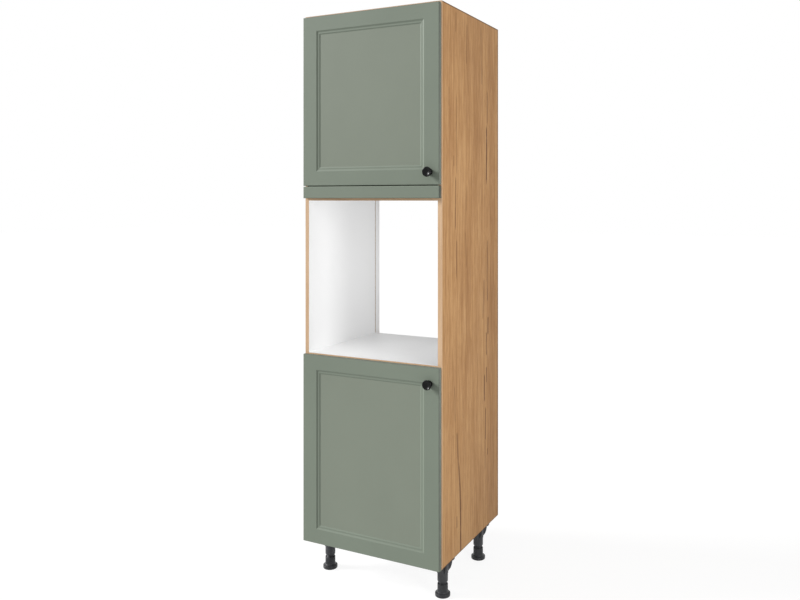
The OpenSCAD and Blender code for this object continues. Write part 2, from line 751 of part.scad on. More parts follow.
// The mounting plate: a winged base on the side and a rail that the arm sits on
module hinge_plate() difference() {
    union() {
        translate([side_in, carcass_deep + plate_back - plate_w / 2, -plate_h / 2 + plate_w / 2])
            cube([plate_t, plate_w, plate_h - plate_w]);
        for (s = [-1, 1]) translate([side_in, carcass_deep + plate_back, s * (plate_h - plate_w) / 2])
            along_x(plate_w / 2, plate_t);
        translate([side_in, carcass_deep + plate_back + mount_rail_off - mount_rail_l / 2, -mount_rail_w / 2])
            cube([mount_rail_h, mount_rail_l, mount_rail_w]);
    }
    for (s = [-1, 1]) translate([side_in - over, carcass_deep + plate_back, s * plate_pitch / 2])
        along_x(euro_r + fit, plate_t + 2 * over);
    for (offset_y = arm_screw_offsets)
        translate([side_in + plate_t, carcass_deep + plate_back + offset_y, 0])
            along_x(arm_screw_r + fit, mount_rail_h);
}

module hinge_plate_screw_pair() for (s = [-1, 1])
    translate([side_in + plate_t, carcass_deep + plate_back, s * plate_pitch / 2]) rotate([0, -90, 0])
        pan_screw(euro_r, euro_head_r, euro_head_t, euro_l + plate_t - fit);

module hinge_arm_pin() translate([arm_pin[0], arm_pin[1], -cheek_gap - cheek_t])
    cylinder(r = arm_pin_r, h = 2 * (cheek_gap + cheek_t));

module hinge_arm_screw_pair() for (offset_y = arm_screw_offsets)
    translate([arm_top_in, carcass_deep + plate_back + offset_y, 0]) rotate([0, -90, 0])
        pan_screw(arm_screw_r, arm_screw_head_r, arm_screw_head_t, mount_rail_h + arm_web_t - plate_t - fit);

module hinge_plates() color(steel) for (z = all_hinges) hinge_place(z) hinge_plate();

module hinge_plate_screws() color(steel) for (z = all_hinges) hinge_place(z) hinge_plate_screw_pair();

module hinge_arms() color(steel) for (z = all_hinges) hinge_place(z) hinge_arm();

module hinge_arm_pins() color(steel) for (z = all_hinges) hinge_place(z) hinge_arm_pin();

module hinge_arm_screws() color(steel) for (z = all_hinges) hinge_place(z) hinge_arm_screw_pair();

module hinge_cups_lower() color(steel) for (z = lower_hinges) hinge_place(z) hinge_cup();

module hinge_cups_upper() color(steel) for (z = upper_hinges) hinge_place(z) hinge_cup();

module hinge_cup_pins_lower() color(steel) for (z = lower_hinges) hinge_place(z) hinge_cup_pin();

module hinge_cup_pins_upper() color(steel) for (z = upper_hinges) hinge_place(z) hinge_cup_pin();

module hinge_cup_screws_lower() color(steel) for (z = lower_hinges) hinge_place(z) hinge_cup_screw_pair();

module hinge_cup_screws_upper() color(steel) for (z = upper_hinges) hinge_place(z) hinge_cup_screw_pair();

// Soft stops on the back of a door, which meet the front edge of the right side
module bumpers(z0, h) for (z = [z0 + bumper_end, z0 + h - bumper_end])
    translate([side_x + board_t / 2, front_y - door_gap, z]) along_y(bumper_r, bumper_t);

module bumpers_lower() color(white) bumpers(lower_door_z, lower_door_h);

module bumpers_upper() color(white) bumpers(upper_door_z, upper_door_h);

// Brackets that hold the unit to the wall, behind the upper back panel ------------------------------

module wall_brackets() color(steel) both_sides() difference() {
    union() {
        translate([-side_x, rear_y - wall_bracket_leg, wall_bracket_z()])
            cube([bracket_t, wall_bracket_leg, wall_bracket_h]);
        translate([-side_x, rear_y - bracket_t, wall_bracket_z()])
            cube([wall_bracket_arm, bracket_t, wall_bracket_h]);
    }
    translate([-side_x + wall_hole_in, rear_y - bracket_t - over, wall_bracket_z() + wall_bracket_h / 2])
        along_y(wall_hole_r, bracket_t + 2 * over);
    for (z = wall_screw_zs()) translate([-side_x - over, wall_screw_y, z])
        along_x(screw_r + fit, bracket_t + 2 * over);
}

module wall_bracket_screws() color(steel) both_sides() for (z = wall_screw_zs())
    translate([-side_x + bracket_t, wall_screw_y, z]) rotate([0, -90, 0])
        pan_screw(l = screw_grip + bracket_t - fit);

// Legs -----------------------------------------------------------------------------------------

// Places a child at each leg, turned about so that its +X points to the nearer side
module leg_places() for (x = leg_xs, y = leg_ys) translate([x, y, 0])
    rotate([0, 0, x > 0 ? 0 : 180]) children();

// The four screws of each leg, between its fins
module leg_screw_places() leg_places() for (turn = leg_screw_turns) rotate([0, 0, turn])
    translate([leg_screw_pcd / 2, 0, leg_h]) children();

// A socket: a round plate under the carcass with a tongue under the side, a collar for the tube
// and four fins that flare out to the plate
module leg_socket() difference() {
    union() {
        translate([0, 0, tube_top]) cylinder(r = leg_plate_r, h = leg_plate_t);
        translate([leg_d / 2, -leg_tongue_w / 2, leg_h - leg_tongue_t])
            cube([leg_tongue_l - leg_d / 2, leg_tongue_w, leg_tongue_t]);
        translate([0, 0, leg_h - collar_drop]) cylinder(r = collar_r, h = collar_drop - leg_plate_t + fit);
        for (turn = fin_turns) rotate([0, 0, turn]) rotate([90, 0, 0])
            translate([0, 0, -fin_t / 2]) linear_extrude(fin_t) polygon(concat(
                [for (p = fin_edge) [collar_bore_r + p[0], leg_h - p[1]]],
                [[collar_bore_r + collar_bite, tube_top + plate_bite]]
            ));
    }
    translate([0, 0, leg_h - collar_drop - over])
        cylinder(r = collar_bore_r, h = collar_drop - leg_plate_t + over);
    for (turn = leg_screw_turns) rotate([0, 0, turn]) translate([leg_screw_pcd / 2, 0, tube_top - over])
        cylinder(r = screw_r + fit, h = leg_plate_t + 2 * over);
}

module leg_sockets() color(plastic) leg_places() leg_socket();

module leg_tubes() color(plastic) leg_places() difference() {
    translate([0, 0, tube_z]) cylinder(r = leg_d / 2, h = tube_top - tube_z);
    translate([0, 0, tube_z - over])
        cylinder(r = stem_bore_r, h = tube_top - tube_z - tube_cap_t + over);
}

module leg_screws() color(steel) leg_screw_places() translate([0, 0, -leg_plate_t])
    pan_screw(l = screw_grip + leg_plate_t - fit);

// The foot's outline as [radius, height]: a rim that rounds over and blends into the sleeve, a cup
// in the sleeve's top, then the stem that screws up into the tube
function foot_outline() = let (
    sleeve_r = leg_d / 2,
    blend = [for (i = [0:8]) let (a = 90 * i / 8)
        [sleeve_r + (rim_r - rim_round - sleeve_r) * (1 - sin(a)),
            rim_h + (rim_blend_top - rim_h) * (1 - cos(a))]]
) concat(
    [[0, 0], [rim_r - rim_round, 0], [rim_r, rim_round], [rim_r, rim_h - rim_round]],
    [for (i = [1:4]) let (a = 90 * i / 4)
        [rim_r - rim_round + rim_round * cos(a), rim_h - rim_round + rim_round * sin(a)]],
    [for (i = [1:8]) blend[i]],
    [[sleeve_r, sleeve_top], [sleeve_r - cup_rim_w, sleeve_top],
        [sleeve_r - cup_rim_w, sleeve_top - cup_deep], [stem_d / 2, sleeve_top - cup_deep],
        [stem_d / 2, stem_top - stem_chamfer],
        [stem_d / 2 - stem_chamfer, stem_top], [0, stem_top]]
);

module foot(x, y) translate([x, y, 0]) rotate_extrude() polygon(foot_outline());

module foot_front_left() color(plastic) foot(leg_xs[0], leg_ys[0]);

module foot_front_right() color(plastic) foot(leg_xs[1], leg_ys[0]);

module foot_rear_left() color(plastic) foot(leg_xs[0], leg_ys[1]);

module foot_rear_right() color(plastic) foot(leg_xs[1], leg_ys[1]);

// Links, each its own moving piece ----------------------------------------------------------------

module hinge_link_lower_bottom() color(steel) hinge_link(lower_hinges[0]);

module hinge_link_lower_top() color(steel) hinge_link(lower_hinges[1]);

module hinge_link_upper_bottom() color(steel) hinge_link(upper_hinges[0]);

module hinge_link_upper_top() color(steel) hinge_link(upper_hinges[1]);

// What is drawn ------------------------------------------------------------------------------------

side_left();
side_right();
bottom_panel();
niche_floor();
niche_ceiling();
top_panel();
front_edge_bands();
back_panel_lower();
back_panel_upper();
back_panel_screws();
shelf_lower();
shelf_upper();
shelf_pins();
cam_bolts();
cam_locks();
dowels();
filler_strip();
strip_brackets();
strip_screws();
wall_brackets();
wall_bracket_screws();
hinge_plates();
hinge_plate_screws();
hinge_arms();
hinge_arm_pins();
hinge_arm_screws();
leg_sockets();
leg_tubes();
leg_screws();
foot_front_left();
foot_front_right();
foot_rear_left();
foot_rear_right();
door_lower();
knob_lower();
knob_screw_lower();
hinge_cups_lower();
hinge_cup_pins_lower();
hinge_cup_screws_lower();
bumpers_lower();
door_upper();
knob_upper();
knob_screw_upper();
hinge_cups_upper();
hinge_cup_pins_upper();
hinge_cup_screws_upper();
bumpers_upper();
hinge_link_lower_bottom();
hinge_link_lower_top();
hinge_link_upper_bottom();
hinge_link_upper_top();
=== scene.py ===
"""Looks of a tall housing unit for a built-in oven, laid round its fixed frame.

Every length is in metres, in the frame's own axes: X to the right seen from the front, Y from the
doors to the back and Z up. The boards, the fronts and most fittings of the frame keep their shape
and get their finish here. Knobs, leg tubes, feet, screws and bumpers are made anew as worked-out
surfaces, because the real ones have ribs, threads, recesses and domes.
"""

import json
import math

import bpy
import numpy as np
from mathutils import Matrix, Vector

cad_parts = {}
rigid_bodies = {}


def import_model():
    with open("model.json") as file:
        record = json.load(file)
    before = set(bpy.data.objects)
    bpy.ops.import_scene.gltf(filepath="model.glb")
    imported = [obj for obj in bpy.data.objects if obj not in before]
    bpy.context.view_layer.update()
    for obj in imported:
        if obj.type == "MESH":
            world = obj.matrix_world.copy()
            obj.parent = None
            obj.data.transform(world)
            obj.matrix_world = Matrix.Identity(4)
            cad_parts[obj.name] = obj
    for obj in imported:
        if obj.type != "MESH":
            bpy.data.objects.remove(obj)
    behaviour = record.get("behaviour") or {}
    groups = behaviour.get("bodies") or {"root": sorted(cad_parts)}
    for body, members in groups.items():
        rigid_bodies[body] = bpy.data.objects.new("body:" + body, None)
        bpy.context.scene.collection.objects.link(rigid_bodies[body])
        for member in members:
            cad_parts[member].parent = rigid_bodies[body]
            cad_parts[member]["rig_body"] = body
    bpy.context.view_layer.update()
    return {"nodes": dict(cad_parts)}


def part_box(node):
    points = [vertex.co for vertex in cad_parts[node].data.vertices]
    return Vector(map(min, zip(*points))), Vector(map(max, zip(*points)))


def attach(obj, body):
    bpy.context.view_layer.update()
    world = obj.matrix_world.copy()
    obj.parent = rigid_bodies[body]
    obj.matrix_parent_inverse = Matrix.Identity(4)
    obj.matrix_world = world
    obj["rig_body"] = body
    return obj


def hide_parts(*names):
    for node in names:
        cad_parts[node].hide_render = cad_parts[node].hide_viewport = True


bl_info = {
    "name": "Tall Oven Housing Unit",
    "version": (1, 0, 0),
    "blender": (4, 5, 0),
    "location": "3D View > Sidebar > Housing Unit",
    "description": "Finishes and fine fittings of a framed tall unit with an open oven niche",
    "category": "Object",
}

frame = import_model()

MM = 0.001
SKIN = 0.02 * MM  # how near to a face a point still belongs to that face
ROUND_RIB = 6  # points round a leg for each grip rib and its valley
PANEL_DEPTH = 4.9 * MM  # what lies deeper than this behind a front's face is its sunk panel


def screen(red, green, blue):
    """A screen colour, 0 to 255 a channel, as linear light."""
    share = np.array((red, green, blue)) / 255
    light = np.where(share <= 0.04045, share / 12.92, ((share + 0.055) / 1.055) ** 2.4)
    return tuple(float(v) for v in light)


def tone(label, colour):
    """A colour property."""
    return bpy.props.FloatVectorProperty(
        name=label, description=f"Colour of {label.lower()}", subtype="COLOR",
        size=3, min=0, max=1, default=screen(*colour),
    )


def length(label, value):
    """A length property, given in millimetres."""
    return bpy.props.FloatProperty(
        name=label, description=f"{label} in metres", unit="LENGTH", default=value * MM,
    )


def turn(label, description, degrees):
    """An angle property, given in degrees."""
    return bpy.props.FloatProperty(
        name=label, description=description, subtype="ANGLE", default=math.radians(degrees),
    )


def strength(label, source, value):
    """The strength of a light from far away."""
    return bpy.props.FloatProperty(
        name=label, description=f"Strength of {source}", min=0, default=value,
    )


def power(label, source, value):
    """The power of a lamp, in watts."""
    return bpy.props.FloatProperty(
        name=label, description=f"Power of {source}", unit="POWER", min=0, default=value,
    )


# Settings ----------------------------------------------------------------------------------------


class StageSettings(bpy.types.PropertyGroup):
    """Camera, lamps and floor."""

    camera_place: bpy.props.FloatVectorProperty(
        name="Camera place", description="Where the camera stands", subtype="TRANSLATION",
        unit="LENGTH", size=3, default=(1.52518, -2.83724, 1.4996),
    )
    camera_turn: turn("Camera turn", "Turn of the level camera to the left", 26.76)
    lens: bpy.props.FloatProperty(
        name="Lens", description="Focal length on a 36 mm sensor", unit="CAMERA", default=35.33,
    )
    shift: bpy.props.FloatVectorProperty(
        name="Shift", description="Shift of the picture in its widths", size=2,
        default=(-0.02914, -0.12643),
    )
    sky: strength("Sky light", "the even white light from all round", 0.4)
    key: strength("Key light", "the far lamp on the left", 3.65)
    key_side: turn("Key side", "Turn of the key light to the left of the fronts' normal", 66)
    key_rise: turn("Key rise", "Height of the key light above the horizon", 25)
    spread: turn("Spread", "How wide the far lamps look from the unit", 20)
    rear: strength("Rear light", "the far lamp behind on the left", 2.2)
    fill: power("Fill lamp", "the tall lamp on the right", 20.5)
    door: power("Door lamp", "the lamp for open doors' backs", 9.0)
    niche: power("Niche lamp", "the lamp for the niche's left wall", 1.25)
    niche_floor: power("Niche floor lamp", "the lamp over the niche's floor", 0.88)
    floor_veil: bpy.props.FloatProperty(
        name="Floor veil", description="Share of plain light in the floor that the camera sees",
        subtype="FACTOR", default=0.8,
    )


class BoardFinish(bpy.types.PropertyGroup):
    """Colours of the fronts and boards."""

    sage: tone("Sage foil", (128, 138, 124))
    sage_sunk: tone("Sage foil of the sunk panels", (134, 142, 128))
    # Painted shade for the fronts' edges
    sage_edge_shade: tone("Sage foil at its edges", (104, 111, 100))
    oak_light: tone("Light oak", (212, 167, 115))
    oak_mid: tone("Middle oak", (188, 141, 91))
    oak_dark: tone("Dark oak", (143, 97, 54))
    # Also the painted shade along the sides' rear, foot and top edges
    oak_crack_and_rim_shade: tone("Oak's dark cracks", (92, 56, 24))
    # Also the painted highlight along the sides' front edges
    band_light_and_front_highlight: tone("Light edge banding", (214, 182, 148))
    band_dark: tone("Dark edge banding", (188, 152, 116))
    white: tone("White facing", (240, 240, 240))
    chip_light: tone("Light chips of raw board", (214, 186, 143))
    chip_dark: tone("Dark chips of raw board", (163, 130, 89))
    hardboard: tone("Raw back of the hardboard", (138, 104, 72))
    beech: tone("Beech dowels", (205, 166, 118))


class HardwareFinish(bpy.types.PropertyGroup):
    """Colours of the metal and plastic fittings."""

    knob: tone("Black knobs", (9, 9, 10))
    leg: tone("Leg plastic", (73, 74, 77))
    foot: tone("Foot plastic", (58, 59, 62))
    nickel: tone("Nickel-plated steel", (202, 203, 205))
    zinc: tone("Zinc-plated steel", (186, 190, 196))
    bumper: tone("Bumper plastic", (226, 226, 220))


class FittingShape(bpy.types.PropertyGroup):
    """Sizes of the small forms that are worked out here."""

    foot_pitch: length("Pitch of a foot's thread", 4.0)
    foot_thread: length("Depth of a foot's thread", 0.9)
    ribs: bpy.props.IntProperty(
        name="Grip ribs", description="Number of grip ribs round a leg", default=20, min=8, max=60,
    )
    rib_depth: length("Depth of the grip ribs", 0.8)
    wood_pitch: length("Pitch of a wood screw's thread", 1.8)
    metal_pitch: length("Pitch of a machine screw's thread", 0.9)


# Surfaces ----------------------------------------------------------------------------------------


def skin_of(rings, first_pole=None, last_pole=None):
    """Vertices and faces of a tube through rings of points, an array (rings, points round, 3).

    Neighbouring points of neighbouring rings make a quad, the last point of a ring meets the
    first, and a pole closes an end with a fan of triangles. Rings that run round anticlockwise,
    seen against the way the tube runs, give faces that point outwards.
    """
    count, around = rings.shape[:2]
    points = [rings.reshape(-1, 3)]
    ring = np.arange(count - 1)[:, None] * around
    step = np.arange(around)[None, :]
    after = (step + 1) % around
    quads = np.stack(
        (ring + step, ring + after, ring + around + after, ring + around + step), axis=-1
    ).reshape(-1, 4)
    faces = quads.tolist()
    step, after = step[0], after[0]
    if first_pole is not None:
        points.append(np.atleast_2d(first_pole))
        pole = np.full(around, count * around)
        faces += np.stack((pole, after, step), axis=-1).tolist()
    if last_pole is not None:
        base = (count - 1) * around
        pole = np.full(around, sum(len(p) for p in points))
        points.append(np.atleast_2d(last_pole))
        faces += np.stack((pole, base + step, base + after), axis=-1).tolist()
    return np.concatenate(points), faces


def angles(around):
    """Even angles round a full turn, as one row."""
    return np.linspace(0, 2 * math.pi, around, endpoint=False)[None, :]


def turned(radius, height, around):
    """Rings of a turned form: x = r cos(a), y = r sin(a), z = h over even angles a.

    radius and height are one number for each ring, or an array (rings, around) where they change
    round the ring too.
    """
    angle = angles(around)
    radius = np.broadcast_to(np.reshape(radius, (len(radius), -1)), (len(radius), around))
    height = np.broadcast_to(np.reshape(height, (len(height), -1)), radius.shape)
    return np.stack((radius * np.cos(angle), radius * np.sin(angle), height), axis=-1)


def ease(low, high, value):
    """Rises smoothly from 0 at low to 1 at high: t squared times (3 - 2 t)."""
    share = np.clip((value - low) / (high - low), 0, 1)
    return share * share * (3 - 2 * share)


def along(axis):
    """A turn, as a 3 by 3 array, that brings +Z to the given unit axis."""
    axis = np.asarray(axis, float)
    helper = np.array((1.0, 0, 0)) if abs(axis[0]) < 0.9 else np.array((0, 1.0, 0))
    right = np.cross(helper, axis)
    right /= np.linalg.norm(right)
    return np.stack((right, np.cross(axis, right), axis), axis=1)


def add_piece(name, parts, stands_for, material, smooth_angle=38):
    """Puts (points, faces) parts into one mesh that stands for a node of the frame."""
    points, faces, base = [], [], 0
    for part_points, part_faces in parts:
        points.append(part_points)
        faces += [[i + base for i in face] for face in part_faces]
        base += len(part_points)
    mesh = bpy.data.meshes.new(name)
    mesh.from_pydata(np.concatenate(points).tolist(), [], faces)
    mesh.materials.append(material)
    mesh.update()
    piece = bpy.data.objects.new(name, mesh)
    bpy.context.scene.collection.objects.link(piece)
    mesh.polygons.foreach_set("use_smooth", [True] * len(mesh.polygons))
    mesh.set_sharp_from_angle(angle=math.radians(smooth_angle))
    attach(piece, frame["nodes"][stands_for]["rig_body"])
    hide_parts(stands_for)
    return piece


def solids_of(node):
    """The separate solids of a node's mesh, each as its array of points.

    Points that share a place are one point. Each takes the lowest number among its neighbours
    until nothing changes, so that a solid ends with one number.
    """
    mesh = frame["nodes"][node].data
    place = np.empty(len(mesh.vertices) * 3, np.float32)
    mesh.vertices.foreach_get("co", place)
    corner = np.empty(len(mesh.loops), np.int32)
    mesh.loops.foreach_get("vertex_index", corner)
    spots, same = np.unique(
        np.round(place.reshape(-1, 3), 6), axis=0, return_inverse=True
    )
    triangle = same.reshape(-1)[corner].reshape(-1, 3)
    pairs = np.concatenate((triangle[:, :2], triangle[:, 1:]))
    label = np.arange(len(spots))
    while True:
        lowest = np.minimum(label[pairs[:, 0]], label[pairs[:, 1]])
        fresh = label.copy()
        np.minimum.at(fresh, pairs[:, 0], lowest)
        np.minimum.at(fresh, pairs[:, 1], lowest)
        fresh = fresh[fresh]
        if (fresh == label).all():
            break
        label = fresh
    return [spots[label == mark].astype(float) for mark in np.unique(label)]


def profile_of(points):
    """Two columns, a profile's radii and heights, from (radius, height) pairs in millimetres."""
    table = np.array(points, float) * MM
    return table[:, :1], table[:, 1:]


def arc(centre, radius, start, end, steps):
    """Points of a circle's arc in a profile, angles in degrees from the outward direction."""
    angle = np.radians(np.linspace(start, end, steps))
    return np.array(centre) + radius * np.stack((np.cos(angle), np.sin(angle)), axis=1)


def knob_form():
    """A turned knob along +Z, standing on its base at z = 0, with its screw's bore.

    In millimetres: a base 26 wide and 3 high; a waist whose radius at share t of its height is
    10.36 + 2.64 (1 - t)^2.4 + 5.04 t^2.6; a rim that is half a circle of radius 2.9; and inside it
    a dished face 5.2 deep in the middle, whose depth falls with 1 - t squared.
    """
    t = np.linspace(0, 1, 25)
    waist = np.stack((10.36 + 2.64 * (1 - t) ** 2.4 + 5.04 * t ** 2.6, 3 + 16.2 * t), axis=1)
    t = np.linspace(1, 0.04, 20)
    dish = np.stack((14.9 * t, 24.8 - 5.2 * (1 - t * t)), axis=1)
    profile = np.concatenate((
        [(0.6, 10.05), (2.05, 10.05), (2.05, 5), (2.05, 0.4), (2.4, 0), (7, 0), (12.4, 0)],
        arc((12.5, 0.5), 0.5, -70, 0, 4), arc((12.5, 2.5), 0.5, 0, 70, 4), waist[1:],
        arc((15.6, 22.1), 2.9, -84, 96, 18), dish,
    ))
    radius, height = profile_of(profile)
    return skin_of(turned(radius, height, 96), (0, 0, 10.05 * MM), (0, 0, 19.6 * MM))


def ribbed(height, angle, low, high, ribs, depth):
    """How far the valleys between grip ribs cut in: where cos(ribs times angle) is above 0, with
    eased flanks, and between the heights low and high, eased over 1.5 mm."""
    wave = ease(-0.35, 0.35, np.cos(ribs * angle))
    soft = 1.5 * MM
    return depth * wave * ease(low, low + soft, height) * ease(high, high - soft, height)


def threaded(height, angle, pitch, depth):
    """How far a screw thread's flank lies under its crest: a sloped tooth once a pitch, climbing a
    pitch each turn."""
    share = np.mod(height / pitch - angle / (2 * math.pi), 1)
    return depth * ease(0.12, 0.5, np.abs(share - 0.5) * 2 * 0.62)


def foot_form(shape):
    """A screw foot along +Z from the floor.

    A ring to stand on, a rounded rim, a ribbed sleeve of radius 20 mm with a cup at its top, and a
    stem of radius 15 mm. The thread cuts into the stem, fading at both ends. The socket in the
    stem's end is a hexagon: its radius goes as cos(30 degrees) / cos(angle from a flat's middle).
    """
    ribs, count = shape.ribs, shape.ribs * ROUND_RIB
    rows = [(4, 1.4), (20, 1.4), (21, 0.3), (22, 0)]
    rows += arc((26.5, 2.5), 2.5, -90, 0, 6).tolist()
    rows += arc((26.5, 10.5), 2.5, 0, 90, 8).tolist()
    rows += [(25.2, 13.05), (23.6, 13.6), (22.2, 14.5), (21.1, 15.8), (20.4, 17.2), (20, 18.6)]
    rows += [(20, z) for z in np.arange(20, 43.6, 1.5)]
    rows += [(20, 44.8), (19.6, 45.6), (19.1, 46), (18.6, 45.6), (18.2, 45), (18.2, 40)]
    rows += [(18.2, 34.6), (17.6, 34), (15.4, 34), (15, 34.5)]
    rows += [(15, z) for z in np.arange(35, 108.2, 0.65)]
    rows += [(15, 108.8), (14.2, 110), (9, 110), (7.4, 109.6), (7, 109), (7, 98), (6.5, 97.5)]
    rows += [(2, 97.5)]
    radius, height = profile_of(rows)
    angle = angles(count)
    sleeve = (np.abs(radius - 20 * MM) < SKIN) & (height > 18 * MM) & (height < 44 * MM)
    cut = np.where(sleeve, ribbed(height, angle, 20 * MM, 43 * MM, ribs, shape.rib_depth), 0)
    stem = (np.abs(radius - 15 * MM) < SKIN) & (height > 34.8 * MM)
    fade = ease(35 * MM, 38 * MM, height) * ease(108.5 * MM, 105 * MM, height)
    thread = threaded(height, angle, shape.foot_pitch, shape.foot_thread)
    cut = cut + np.where(stem, thread * fade, 0)
    side = np.mod(angle, math.pi / 3) - math.pi / 6
    socket = (height > 97 * MM) & (radius < 7.05 * MM) & (radius > 6 * MM)
    hexagon = np.where(socket, math.cos(math.pi / 6) / np.cos(side), 1)
    rings = turned((radius - cut) * hexagon, height, count)
    return skin_of(rings, (0, 0, 1.4 * MM), (0, 0, 97.5 * MM))


def tube_form(shape):
    """A leg's tube along +Z: a closed top, a smooth bore, a plain end ring, shallow grip ribs."""
    ribs, count = shape.ribs, shape.ribs * ROUND_RIB
    rows = [(3, 144), (14.6, 144), (15.3, 143.4), (15.3, 100), (15.3, 56.5), (15.8, 56), (19, 56)]
    rows += [(19.4, 56.15), (19.5, 56.6), (19.5, 58.4), (19.7, 58.9), (20, 59.2)]
    rows += [(20, z) for z in np.arange(60, 145.2, 2.1)]
    rows += [(20, 145.6), (19.6, 146), (4, 146)]
    radius, height = profile_of(rows)
    wall = (np.abs(radius - 20 * MM) < SKIN) & (height > 59.5 * MM) & (height < 145.3 * MM)
    ribs_cut = ribbed(height, angles(count), 61 * MM, 143 * MM, ribs, 0.6 * shape.rib_depth)
    rings = turned(radius - np.where(wall, ribs_cut, 0), height, count)
    return skin_of(rings, (0, 0, 144 * MM), (0, 0, 146 * MM))


def bumper_form():
    """A soft stop along +Z: a disc 8 mm wide and 1.7 mm high with a domed face."""
    rows = [(1, 0), (3.9, 0), (4, 0.1), (4, 0.8), (3.85, 1.15), (3.5, 1.4)]
    rows += [(2.8, 1.56), (1.8, 1.66)]
    radius, height = profile_of(rows)
    return skin_of(turned(radius, height, 32), (0, 0, 0), (0, 0, 1.7 * MM))


def screw_form(head_r, head_t, shank_r, long, pitch, point):
    """A pan-headed screw along +Z, the underside of its head at z = 0.

    The head is a low dome, its height falling with the third power of the radius, with a cross of
    two bars sunk into it. The shank's radius swings between core and crest with the thread, and
    goes to a tip over the last point metres.
    """
    around = 24
    angle = angles(around)
    share = np.array((0.1, 0.2, 0.3, 0.4, 0.5, 0.62, 0.75, 0.87, 0.96))[:, None]
    x, y = head_r * share * np.cos(angle), head_r * share * np.sin(angle)
    arm, half = 0.5 * head_r, 0.13 * head_r
    bars = [ease(1.5 * half, 0.5 * half, np.abs(u)) * ease(1.15 * arm, 0.85 * arm, np.abs(v))
            for u, v in ((x, y), (y, x))]
    top = -head_t * (1 - 0.3 * share ** 3) + 0.6 * head_t * np.maximum(*bars)
    head = np.stack((x, y, top), axis=-1)
    flank = turned(head_r * np.array((1, 1, 0.985)), head_t * np.array((-0.6, -0.08, 0)), around)
    height = np.linspace(0.02 * long, 0.995 * long, max(12, int(5 * long / pitch)))[:, None]
    depth = 0.3 * shank_r
    radius = shank_r - threaded(height, angle, pitch, depth) * ease(0, pitch, height)
    radius = radius * (0.12 + 0.88 * np.clip((long - height) / point, 0, 1))
    shank = turned(radius, height, around)
    rings = np.concatenate((head, flank, shank))
    return skin_of(rings, (0, 0, -0.4 * head_t), (0, 0, long))


def screws_like(node, pitch, point):
    """A screw for every solid of a node, of its sizes and at its place.

    A solid's longest side is its axis. The points farthest from the axis belong to the head, and
    the end they are nearer to is the head's.
    """
    made = []
    for points in solids_of(node):
        low, high = points.min(axis=0), points.max(axis=0)
        axis = int(np.argmax(high - low))
        middle = (low + high) / 2
        off = np.delete(points - middle, axis, axis=1)
        away = np.hypot(off[:, 0], off[:, 1])
        level = points[:, axis]
        head = level[away > 0.98 * away.max()]
        upward = head.min() - low[axis] < high[axis] - head.max()
        tip = high[axis] if upward else low[axis]
        bed = head.max() if upward else head.min()
        middle[axis] = bed
        heading = np.zeros(3)
        heading[axis] = 1 if upward else -1
        shank_r = away[np.abs(level - tip) < 0.01 * MM].max()
        shape, faces = screw_form(
            away.max(), head.max() - head.min(), shank_r, abs(tip - bed), pitch, point)
        made.append((shape @ along(heading).T + middle, faces))
    return made


# Materials ---------------------------------------------------------------------------------------


def dimmed(colour, share):
    """A colour times a share."""
    return tuple(v * share for v in colour)


